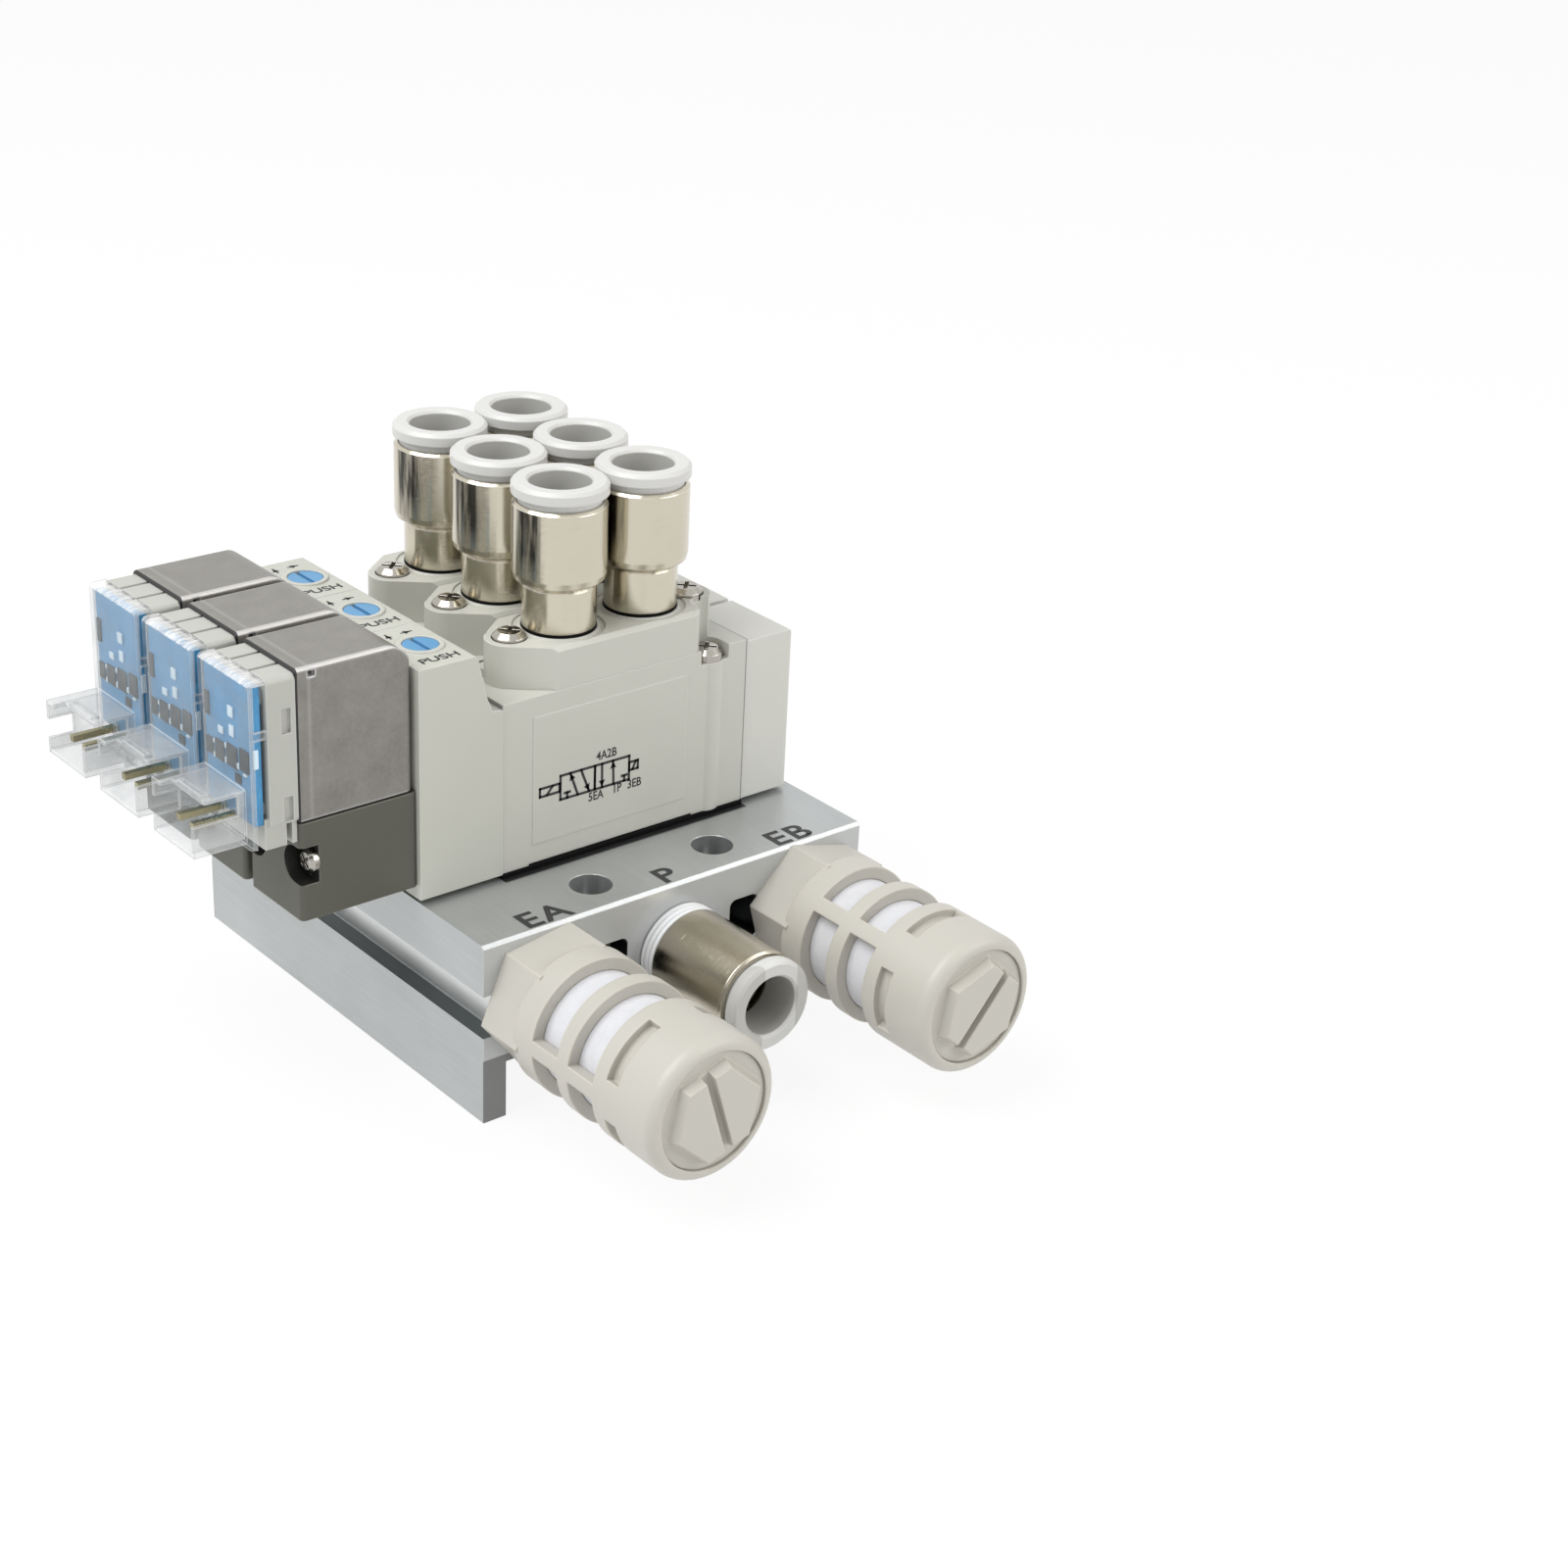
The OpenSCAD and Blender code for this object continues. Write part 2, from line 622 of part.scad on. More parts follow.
// Supply fitting: stem in the base's port and a straight barrel
module supply_fitting() {
  edge = 0.2;
  color("tan") at_port(0) difference() {
    rotate_extrude() polygon([
      [0, -port_depth], [gallery_r - silencer_clear, -port_depth],
      [gallery_r - silencer_clear, 0], [supply_barrel_r - 1, 0],
      [supply_barrel_r - 1, seal_len], [supply_barrel_r, seal_len],
      [supply_barrel_r, supply_barrel_len - edge],
      [supply_barrel_r - edge, supply_barrel_len], [0, supply_barrel_len]]);
    fitting_hollow(supply_barrel_len, -port_depth);
  }
}

// Ridged seal ring between the base and the supply fitting's barrel
module supply_seal() {
  ridge = seal_len / 3;
  in = supply_barrel_r - 0.98;
  low = supply_barrel_r - 0.3;
  color("white") at_port(0) rotate_extrude() polygon(concat([[in, seal_len], [in, 0]],
    [for (k = [0 : 2]) each [[low, (k + 0.05) * ridge], [supply_barrel_r, (k + 0.25) * ridge],
      [supply_barrel_r, (k + 0.75) * ridge], [low, (k + 0.95) * ridge]]],
    [[low, seal_len]]));
}

// Places a child at the top of every fitting's barrel
module at_fittings() {
  for (i = stations, s = outlets)
    translate([outlet_x(s), station_y(i), plate_top + barrel_top]) children();
  at_port(0) translate([0, 0, supply_barrel_len]) children();
}

module collets() {
  color("goldenrod") at_fittings() difference() {
    ring(chamber_r - 0.05, tube_r + 0.05, -collet_end, -sleeve_len - 0.1);
    for (a = [0 : 60 : 179])
      rotate(a) translate([-6, -0.25, 0.5 - collet_end]) cube([12, 0.5, 3]);
  }
}

module tube_seals() {
  color("dimgray") at_fittings()
    ring(chamber_r - 0.03, tube_r, 0.05 - chamber_d, -collet_end - 0.05);
}

// Adapter plate profile: tapered towards the port plate, small shelf on the body
module adapter_profile() {
  shelf_z = body_h - 0.4;
  top_right = adapter_top_len;
  polygon([[0, 0], [adapter_len, 0], [adapter_len, shelf_z], [adapter_len - 1.2, shelf_z + 0.2],
    [adapter_len - 1.8, shelf_z + 1.6], [top_right, adapter_h - 0.3],
    [top_right - 0.3, adapter_h], [0, adapter_h]]);
}

module adapter_plate(i) {
  color("gainsboro") translate([0, station_y(i), 0]) difference() {
    union() {
      translate([adapter_left, 0, body_z]) along_row(pitch - adapter_gap) adapter_profile();
      translate([override_axis_x, 0, adapter_top - 1])
        cylinder(r = override_r + 0.5, h = 1 + override_lip);
    }
    translate([override_axis_x, 0, override_floor_z])
      cylinder(r = override_r + override_clear, h = 9);
  }
}

module override_seal(i) {
  color("black") translate([override_axis_x, station_y(i), override_groove_z])
    ring(override_r + override_clear - 0.02, override_r - 0.4, 0.05, 0.65);
}

// Override button: slotted head, groove for its seal
module override_button(i) {
  color("royalblue") translate([override_axis_x, station_y(i), 0]) difference() {
    translate([0, 0, override_z]) cylinder(r = override_r, h = override_top - override_z);
    translate([0, 0, override_groove_z]) ring(override_r + 1, override_r - 0.45, 0, 0.7);
    translate([-0.25, -override_r - 1, override_top - 0.5]) cube([0.5, 2 * override_r + 2, 1]);
  }
}

// Coil cover: bent sheet shell with one large and other small rounded edges
module coil_side(w, h) {
  r = coil_corner_r;
  difference() {
    square([w, h]);
    translate([w - r, h - r]) difference() {
      square(r + 1);
      circle(r);
    }
    translate([coil_edge_r, h - coil_edge_r]) rotate(90) difference() {
      square(coil_edge_r + 1);
      circle(coil_edge_r);
    }
  }
}

module coil_cover(i) {
  notch = [0.8, 0.8, 0.6];
  color("dimgray") translate([pilot_left, station_y(i), coil_z]) difference() {
    intersection() {
      along_row(coil_w) coil_side(coil_len, coil_h);
      translate([-1, 0, 0]) rotate([90, 0, 90]) linear_extrude(coil_len + 2)
        translate([0, coil_h / 2 - 2]) round_rect(coil_w, coil_h + 4, coil_edge_r);
      linear_extrude(coil_h + 1) translate([coil_len / 2 - 2, 0])
        round_rect(coil_len + 4, coil_w, coil_side_r);
    }
    for (s = [-1, 1])
      translate([1.75, s * coil_w / 2, coil_h - 0.75]) cube(notch, center = true);
  }
}

// Pilot body: its two screws sit in pockets that are open to the sides
module pilot_body(i) {
  len = adapter_left - pilot_left;
  color("dimgray") translate([pilot_left, station_y(i), pilot_z]) difference() {
    linear_extrude(pilot_h) translate([len / 2, 0]) round_rect(len, pilot_w, 0.5);
    for (s = [-1, 1]) translate([0, s * pilot_screw_y, pilot_screw_z]) {
      rotate([0, 90, 0]) {
        translate([0, 0, -1]) cylinder(r = pilot_recess_r, h = pilot_recess_d + 1);
        cylinder(r = shank_r - 0.2 + screw_clear, h = len + 1);
      }
      translate([0, 2 * s, 0]) cube([2 * pilot_recess_d, 4, 2 * pilot_recess_r], center = true);
    }
  }
}

// Terminal housing between the coil and the circuit board: grooved roof, slots, foot
module terminal_housing(i) {
  foot_h = 2.1;
  slot = [1, 0.7, 2.5];
  groove = [terminal_len + 1, 0.5, 0.7];
  color("gainsboro") translate([terminal_left, station_y(i), terminal_z]) difference() {
    union() {
      rotate([90, 0, 90]) linear_extrude(terminal_len)
        translate([0, terminal_h / 2]) round_rect(terminal_w, terminal_h, 0.6);
      box([-0.4, 0.3 - terminal_w / 2, -foot_h], [2.25, terminal_w - 0.6, foot_h + 1]);
      box([2.45, 0.3 - terminal_w / 2, -foot_h], [0.5, terminal_w - 0.6, foot_h + 1]);
      for (z = [1.2, terminal_h - 2.6])
        box([-board_standoff, 0.6 - board_w / 2, z], [board_standoff + cut, board_w - 1.2, 1.2]);
    }
    for (s = [-1, 1]) {
      for (z = terminal_slots_z)
        translate([2, s * terminal_w / 2, z + slot[2] / 2]) cube(slot, center = true);
      translate([terminal_len / 2, s * 1.6, terminal_h]) cube(groove, center = true);
    }
  }
}

module circuit_boards() {
  color("steelblue") for (i = stations)
    box([board_x - board_t, station_y(i) - board_w / 2, board_z], [board_t, board_w, board_h]);
}

module terminal_pins() {
  tip_x = cover_left - socket_len + 1.25;
  color("gold") for (i = stations, s = [-1, 1])
    box([tip_x, station_y(i) + s * pin_pitch / 2 - pin_t / 2, pin_z - pin_t / 2],
      [board_x - board_t - tip_x, pin_t, pin_t]);
}

// Clear cover's shell: outer wall with a rounded upper edge, and a roof to the housing
module cover_shell() {
  r = cover_edge_r;
  depth = terminal_left - cover_left;
  h = cover_top - cover_z;
  intersection() {
    along_row(cover_w) {
      translate([r, 0]) square([depth - r, h]);
      square([depth, h - r]);
      translate([r, h - r]) circle(r);
    }
    linear_extrude(h) translate([depth / 2 + 2, 0]) round_rect(depth + 4, cover_w, 0.5);
  }
}

// Plug socket: one side wall is low, the other has a slot, the roof is cut out for a latch
module socket_openings() {
  inner_w = socket_w - 2 * cover_t;
  far = socket_y + socket_w;
  box([-socket_len - 1, socket_y + cover_t, cover_t], [socket_len + 1, inner_w, socket_h - 2 * cover_t]);
  box([-socket_len - 1, socket_y - 1, socket_low_h],
    [socket_len + 0.2, 1.5 + cover_t, socket_h - socket_low_h - cover_t]);
  box([-socket_len - 1, far - 1, 1.6], [3.6, 2, 2]);
  box([-socket_len - 1, socket_y - 1, socket_h - cover_t - cut], [latch_d + 1, socket_w - 0.6, 2]);
}

// Clear cover with its plug socket, the socket's latch bar and two lugs beside the board
module connector_cover(i) {
  depth = terminal_left - cover_left;
  wall_h = cover_top - cover_z;
  lug = [depth - cover_t, 0.3, 0.9];
  color("white") translate([cover_left, station_y(i), socket_z]) difference() {
    union() {
      difference() {
        translate([0, 0, cover_z - socket_z]) cover_shell();
        box([cover_t, cover_t - cover_w / 2, -1], [depth, cover_w - 2 * cover_t, wall_h - cover_t + 0.5]);
        box([cover_t + board_gap, -cover_w, -1], [depth, 2 * cover_w, wall_h - cover_t + 0.5]);
      }
      for (s = [-1, 1])
        translate([cover_t + lug[0] / 2, s * (cover_w - lug[1]) / 2, 0.65 * wall_h]) cube(lug, center = true);
      box([-socket_len, socket_y, 0], [socket_len + cut, socket_w, socket_h]);
      box([latch_d - socket_len, socket_y + 0.6, socket_h - cut], [0.8, 4.4, 0.35]);
    }
    socket_openings();
    for (s = [-1, 1])
      translate([0, s * pin_pitch / 2, pin_z - socket_z])
        cube([3, pin_t + 2 * pin_clear, pin_t + 2 * pin_clear], center = true);
  }
}

// Windows of one row: mirrored pairs on both sides of each narrow bar
module window_row(r_out, r_in, z0, len, start, angle) {
  for (turn = [0, 180], flip = [0, 1]) rotate(turn) mirror([0, flip, 0]) rotate(start)
    rotate_extrude(angle = angle) translate([r_in, z0]) square([r_out - r_in, len]);
}

// Outline of the cage with its rounded rim, to be turned about the axis
module cage_profile() {
  rim = 1.2;
  translate([0, silencer_hex_len - 0.6]) square([cage_r, silencer_len - silencer_hex_len + 0.6 - rim]);
  square([cage_r - rim, silencer_len]);
  translate([cage_r - rim, silencer_len - rim]) circle(rim);
}

// Silencer housing: stem, hexagon, slotted cage and rounded rim
module silencer_shape(hex_turn) {
  inner = cage_r - cage_t;
  first = silencer_hex_len + window_start;
  difference() {
    union() {
      translate([0, 0, -port_depth]) cylinder(r = gallery_r - silencer_clear, h = port_depth + cut);
      rotate(hex_turn) cylinder(r = silencer_hex / sqrt(3), h = silencer_hex_len, $fn = 6);
      rotate_extrude() cage_profile();
    }
    translate([0, 0, silencer_hex_len - 1]) cylinder(r = inner, h = silencer_len);
    translate([0, 0, -port_depth - 1]) cylinder(r = 2.8, h = silencer_hex_len + port_depth + 2);
    for (k = [0, 1])
      window_row(cage_r + 1, inner - 1, first + k * window_pitch, window_len,
        narrow_bar_angle / 2, window_angle);
    window_row(cage_r + 1, cage_r - blind_depth, first + 2 * window_pitch, blind_len,
      narrow_bar_angle / 2 + 10, blind_angle);
  }
}

module silencer_housing_left() {
  color("beige") at_port(-exhaust_spacing) rotate(left_turn) silencer_shape(left_hex_turn);
}

module silencer_housing_right() {
  color("beige") at_port(exhaust_spacing) rotate(right_turn) silencer_shape(right_hex_turn);
}

module silencer_elements() {
  floor_z = silencer_hex_len - 1;
  color("white") for (x = [-exhaust_spacing, exhaust_spacing]) at_port(x)
    ring(cage_r - cage_t - silencer_clear, 3, floor_z, cap_face - cap_body_t);
}

// Bar with sloping sides; three of them, crossed, leave the cap's hexagon
module cap_bar() {
  root = 0.2;
  lean = tan(cap_slope);
  low = cap_hex / 2 + root * lean;
  high = cap_hex / 2 - cap_hex_h * lean;
  along_row(4 * cap_r) polygon([[-low, -root], [low, -root], [high, cap_hex_h], [-high, cap_hex_h]]);
}

// End cap: disc with a raised, tapered hexagon split by a screwdriver slot
module silencer_cap(turn) {
  rotate(turn) difference() {
    union() {
      translate([0, 0, cap_face - cap_body_t]) cylinder(r = cap_r, h = cap_body_t);
      translate([0, 0, cap_face]) intersection() {
        rotate(30) cap_bar();
        rotate(90) cap_bar();
        rotate(150) cap_bar();
      }
    }
    translate([0, 0, cap_face + cap_hex_h - cap_slot_d / 2 + 0.5])
      cube([cap_slot_w, 2 * cap_r, cap_slot_d + 1], center = true);
  }
}

module silencer_caps() {
  color("beige") {
    at_port(-exhaust_spacing) silencer_cap(left_cap_turn);
    at_port(exhaust_spacing) silencer_cap(right_cap_turn);
  }
}

module valve_screws() {
  len = screw_seat_z - base_h + screw_grip;
  color("silver") for (i = stations, p = valve_screws_at(i))
    translate([p[0], p[1], screw_seat_z]) pan_screw(head_r, head_h, shank_r, len);
}

module port_plate_screws() {
  color("silver") for (i = stations, p = port_screws_at(i))
    translate([p[0], p[1], plate_top - 0.5])
      pan_screw(head_r, head_h, shank_r, port_plate_h + 2);
}

module pilot_screws() {
  len = adapter_left - pilot_left - pilot_recess_d - 0.1;
  color("silver") for (i = stations, s = [-1, 1])
    translate([pilot_left + pilot_recess_d, station_y(i) + s * pilot_screw_y, pilot_z + pilot_screw_z])
      rotate([0, -90, 0]) pan_screw(pilot_head_r, pilot_head_h, shank_r - 0.2, len);
}

manifold_base();
gaskets();
port_plugs();
valve_body(1);  // valve_body_1
valve_body(2);  // valve_body_2
valve_body(3);  // valve_body_3
spool(1);  // spool_1
spool(2);  // spool_2
spool(3);  // spool_3
end_plate(1);  // end_plate_1
end_plate(2);  // end_plate_2
end_plate(3);  // end_plate_3
port_plate(1);  // port_plate_1
port_plate(2);  // port_plate_2
port_plate(3);  // port_plate_3
fitting_barrels(1);  // fitting_barrels_1
fitting_barrels(2);  // fitting_barrels_2
fitting_barrels(3);  // fitting_barrels_3
release_ring(1, -1);  // release_ring_a1
release_ring(1, 1);  // release_ring_b1
release_ring(2, -1);  // release_ring_a2
release_ring(2, 1);  // release_ring_b2
release_ring(3, -1);  // release_ring_a3
release_ring(3, 1);  // release_ring_b3
adapter_plate(1);  // adapter_plate_1
adapter_plate(2);  // adapter_plate_2
adapter_plate(3);  // adapter_plate_3
override_seal(1);  // override_seal_1
override_seal(2);  // override_seal_2
override_seal(3);  // override_seal_3
override_button(1);  // override_button_1
override_button(2);  // override_button_2
override_button(3);  // override_button_3
coil_cover(1);  // coil_cover_1
coil_cover(2);  // coil_cover_2
coil_cover(3);  // coil_cover_3
pilot_body(1);  // pilot_body_1
pilot_body(2);  // pilot_body_2
pilot_body(3);  // pilot_body_3
terminal_housing(1);  // terminal_housing_1
terminal_housing(2);  // terminal_housing_2
terminal_housing(3);  // terminal_housing_3
circuit_boards();
terminal_pins();
connector_cover(1);  // connector_cover_1
connector_cover(2);  // connector_cover_2
connector_cover(3);  // connector_cover_3
supply_fitting();
supply_seal();
release_ring_p();
collets();
tube_seals();
seat_rings();
silencer_housing_left();
silencer_housing_right();
silencer_elements();
silencer_caps();
valve_screws();
port_plate_screws();
pilot_screws();
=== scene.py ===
import math
import bmesh
import bpy
from mathutils import Matrix, Vector


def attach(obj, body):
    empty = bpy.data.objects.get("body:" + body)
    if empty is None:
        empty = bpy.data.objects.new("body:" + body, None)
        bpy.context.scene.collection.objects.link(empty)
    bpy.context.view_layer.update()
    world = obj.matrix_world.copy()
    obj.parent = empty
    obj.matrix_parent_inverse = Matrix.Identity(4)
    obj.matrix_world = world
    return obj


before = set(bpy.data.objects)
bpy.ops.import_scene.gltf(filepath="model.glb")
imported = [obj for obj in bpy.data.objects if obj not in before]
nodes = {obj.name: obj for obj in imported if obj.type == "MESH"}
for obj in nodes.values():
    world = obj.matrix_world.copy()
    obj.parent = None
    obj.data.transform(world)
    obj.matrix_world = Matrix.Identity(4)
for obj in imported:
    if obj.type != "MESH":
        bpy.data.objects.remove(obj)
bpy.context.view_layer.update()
MM = 0.001

# Sizes that the finishes and marks are placed by, in millimetres. X runs along the valves with the
# pilots at -X, Y along the row, and Z up from the plane of the feet.
PITCH = 10.5
STATIONS = {1: -PITCH, 2: 0.0, 3: PITCH}
SLIVER = 0.02  # how far a mask reaches past the face that it colours

FEET_TOP = 7.0
BASE_TOP = 19.6
TOP_SKIN = 0.05  # how far down from the top the gaskets' painted reflection goes
BAR_END_Y = 26.12
GROOVE_FLOOR = 9.5
GROOVE_HEIGHT = 4.65
GROOVE_WALL = (21.75, 21.84)
CHANNEL_X = (6.45, 10.25)
CHANNEL_Z = (10.3, 15.5)
GASKET_REFLECTION_X = (-14.4, 16.4)
GASKET_REFLECTION_Y = (16.6, 16.3)

BODY_LEFT, BODY_RIGHT = -14.3, 16.3
BODY_FRONT = -5.06
SEAM = 0.13

OUTLET_X = (-4.05, 6.05)
BORE_R = 3.15
SUPPLY_Z = 12.2
STREAKS_Z = (46.5, 51.5)

ADAPTER_TOP = 44.4
COIL_END = -36.85
COIL_SHOWS = 0.25
FOLD_X = -35.4
FOLD_BLUR = (0.06, 0.3)
NOTCH_X = (-35.5, -34.85)
NOTCH_Z = (46.35, 46.9)
NOTCH_OFF_MIDDLE = 4.2
POCKET_X = (-36.8, -34.6)
POCKET_Z = (25.2, 29.2)
POCKET_HALF = 4.66

BOARD_FACE = -41.2
BOARD_HALF = 4.2
SOCKET_X = -42.0
ROOF_Z = 44.0
LUG_Z = 41.16
LUG_OUT = 4.63


# Shader helpers

def plug(tree, value, socket):
    """Gives a socket a value, or links another node's output to it."""
    if isinstance(value, bpy.types.NodeSocket):
        tree.links.new(value, socket)
    else:
        socket.default_value = value


def put(tree, kind, **sockets):
    """Adds a node and fills its inputs, each given by its name or by _ and its number."""
    node = tree.nodes.new("ShaderNode" + kind)
    for name, value in sockets.items():
        key = int(name[1:]) if name[0] == "_" else name.replace("_", " ")
        plug(tree, value, node.inputs[key])
    return node


def use(tree, shared, **sockets):
    """Places a shared node group and fills its inputs by name."""
    node = tree.nodes.new("ShaderNodeGroup")
    node.node_tree = shared
    for name, value in sockets.items():
        plug(tree, value, node.inputs[name.replace("_", " ")])
    return node.outputs


def math_node(tree, operation, a, b=0.0, clamp=False):
    node = put(tree, "Math", _0=a, _1=b)
    node.operation = operation
    node.use_clamp = clamp
    return node.outputs[0]


def product(tree, first, *others):
    """Masks and shares multiplied together."""
    for other in others:
        first = math_node(tree, "MULTIPLY", first, other)
    return first


def blend(tree, factor, a, b):
    """Mix of two colours."""
    node = tree.nodes.new("ShaderNodeMix")
    node.data_type = "RGBA"
    for index, value in ((0, factor), (6, a), (7, b)):
        plug(tree, value, node.inputs[index])
    return node.outputs[2]


def lay_over(tree, base, mask, share, colour):
    """The base colour with a share of another one over it, where the mask is 1."""
    return blend(tree, product(tree, mask, share), base, (*colour, 1.0))


def ramp(tree, value, start, end):
    """Mask that climbs from 0 at the start to 1 at the end."""
    return put(tree, "MapRange", Value=value, _1=start, _2=end).outputs[0]


def above(tree, length, limit):
    """Mask that is 1 where a length is over a limit in millimetres."""
    return math_node(tree, "GREATER_THAN", length, limit * MM)


def below(tree, length, limit):
    """Mask that is 1 where a length is under a limit in millimetres."""
    return math_node(tree, "LESS_THAN", length, limit * MM)


def between(tree, length, limits):
    """Mask that is 1 where a length lies between two limits in millimetres."""
    return product(tree, above(tree, length, limits[0]), below(tree, length, limits[1]))


def distance(tree, length, place):
    """How far a coordinate is from a place given in millimetres."""
    return math_node(tree, "ABSOLUTE", math_node(tree, "SUBTRACT", length, place * MM))


def position(tree):
    """The place on the piece, split into X, Y and Z."""
    where = tree.nodes.new("ShaderNodeTexCoord").outputs["Object"]
    return put(tree, "SeparateXYZ", Vector=where).outputs


def surface_direction(tree):
    """The direction that the surface faces on the piece."""
    return tree.nodes.new("ShaderNodeTexCoord").outputs["Normal"]


def off_station(tree, where):
    """How far a place is from the middle of the nearest valve, along the row."""
    return math_node(tree, "PINGPONG", where["Y"], PITCH / 2 * MM)


# Node groups that the finishes share

EDGE_GAIN = 6.0
RELIEF_DEPTH = 0.05 * MM


def group(name, inputs, outputs):
    """A node group with its inputs and outputs, each given as (name, socket type)."""
    tree = bpy.data.node_groups.new(name, "ShaderNodeTree")
    for label, kind in inputs:
        tree.interface.new_socket(label, in_out="INPUT", socket_type="NodeSocket" + kind)
    for label, kind in outputs:
        tree.interface.new_socket(label, in_out="OUTPUT", socket_type="NodeSocket" + kind)
    given = tree.nodes.new("NodeGroupInput").outputs
    return tree, given, tree.nodes.new("NodeGroupOutput").inputs


def surface_grain_group():
    """Fine grain stretched by a scale for each axis, and broad patches."""
    tree, given, out = group("surface grain", [("Scale", "Vector"), ("Patch", "Float")],
                             [("Grain", "Float"), ("Patches", "Float")])
    where = tree.nodes.new("ShaderNodeTexCoord").outputs["Object"]
    stretched = put(tree, "Mapping", Vector=where, Scale=given["Scale"]).outputs[0]
    fine = put(tree, "TexNoise", Vector=stretched, Scale=1.0, Detail=4.0, Roughness=0.6)
    broad = put(tree, "TexNoise", Vector=where, Scale=given["Patch"], Detail=2.0, Roughness=0.5)
    tree.links.new(fine.outputs[0], out["Grain"])
    tree.links.new(broad.outputs[0], out["Patches"])
    return tree


def soft_edge_group():
    """Rounded look of an edge: its bent normal, and a mask that is 1 along it."""
    tree, given, out = group("soft edge", [("Radius", "Float")],
                             [("Normal", "Vector"), ("Edge", "Float")])
    bevel = put(tree, "Bevel", Radius=given["Radius"])
    bevel.samples = 6
    true_normal = tree.nodes.new("ShaderNodeNewGeometry").outputs["Normal"]
    agreement = put(tree, "VectorMath", _0=bevel.outputs[0], _1=true_normal)
    agreement.operation = "DOT_PRODUCT"
    turn = math_node(tree, "SUBTRACT", 1.0, agreement.outputs["Value"], clamp=True)
    tree.links.new(bevel.outputs[0], out["Normal"])
    tree.links.new(math_node(tree, "MULTIPLY", turn, EDGE_GAIN, clamp=True), out["Edge"])
    return tree


def tone_group():
    """Colour and roughness varied by grain and patches, with another colour along edges: painted
    highlights where the edge colour is lighter, painted shade where it is darker.
    """
    tree, given, out = group(
        "tone", [("Colour", "Color"), ("Edge Colour", "Color"), ("Grain", "Float"),
                 ("Patches", "Float"), ("Edge", "Float"), ("Variation", "Float"),
                 ("Roughness", "Float"), ("Spread", "Float")],
        [("Colour", "Color"), ("Roughness", "Float")])
    centred = math_node(tree, "ADD", given["Grain"], given["Patches"])
    centred = math_node(tree, "SUBTRACT", centred, 1.0)
    gain = math_node(tree, "ADD", product(tree, centred, given["Variation"]), 1.0)
    scaled = put(tree, "VectorMath", _0=given["Colour"])
    scaled.operation = "SCALE"
    tree.links.new(gain, scaled.inputs["Scale"])
    colour = blend(tree, given["Edge"], scaled.outputs[0], given["Edge Colour"])
    rough = math_node(tree, "ADD", given["Roughness"], product(tree, centred, given["Spread"]),
                      clamp=True)
    tree.links.new(colour, out["Colour"])
    tree.links.new(rough, out["Roughness"])
    return tree


GRAIN, EDGE, TONE = surface_grain_group(), soft_edge_group(), tone_group()


# Finishes

def new_material(name):
    material = bpy.data.materials.new(name)
    material.use_nodes = True
    return material, material.node_tree, material.node_tree.nodes["Principled BSDF"]


def finish(name, colour, edge=None, roughness=0.4, metallic=0.0, scale=(3000, 3000, 3000),
           patch=120, variation=0.08, spread=0.1, bump=0.08, radius=0.15):
    """Material of one finish, with its edge colour painted along the edges as a highlight where
    lighter and as shade where darker. Scale and patch are in cycles a metre, radius in
    millimetres.
    """
    material, tree, shader = new_material(name)
    colour = (*colour, 1.0)
    edge = (*edge, 1.0) if edge else colour
    grain = use(tree, GRAIN, Scale=scale, Patch=float(patch))
    soft = use(tree, EDGE, Radius=radius * MM)
    tone = use(tree, TONE, Colour=colour, Edge_Colour=edge, Grain=grain["Grain"],
               Patches=grain["Patches"], Edge=soft["Edge"], Variation=variation,
               Roughness=roughness, Spread=spread)
    relief = put(tree, "Bump", Strength=bump, Distance=RELIEF_DEPTH, Height=grain["Grain"],
                 Normal=soft["Normal"])
    tree.links.new(tone["Colour"], shader.inputs["Base Color"])
    tree.links.new(tone["Roughness"], shader.inputs["Roughness"])
    tree.links.new(relief.outputs[0], shader.inputs["Normal"])
    shader.inputs["Metallic"].default_value = metallic
    return material


def opened(material):
    """A finish's tree, shader, place on the piece, and base colour to lay marks over."""
    tree = material.node_tree
    shader = tree.nodes["Principled BSDF"]
    base = shader.inputs["Base Color"].links[0].from_socket
    return tree, shader, position(tree), base


def moulded_grey(name, colour, edge):
    return finish(name, colour, edge=edge, roughness=0.45, scale=(7000, 7000, 7000),
                  variation=0.05, bump=0.1, radius=0.2)


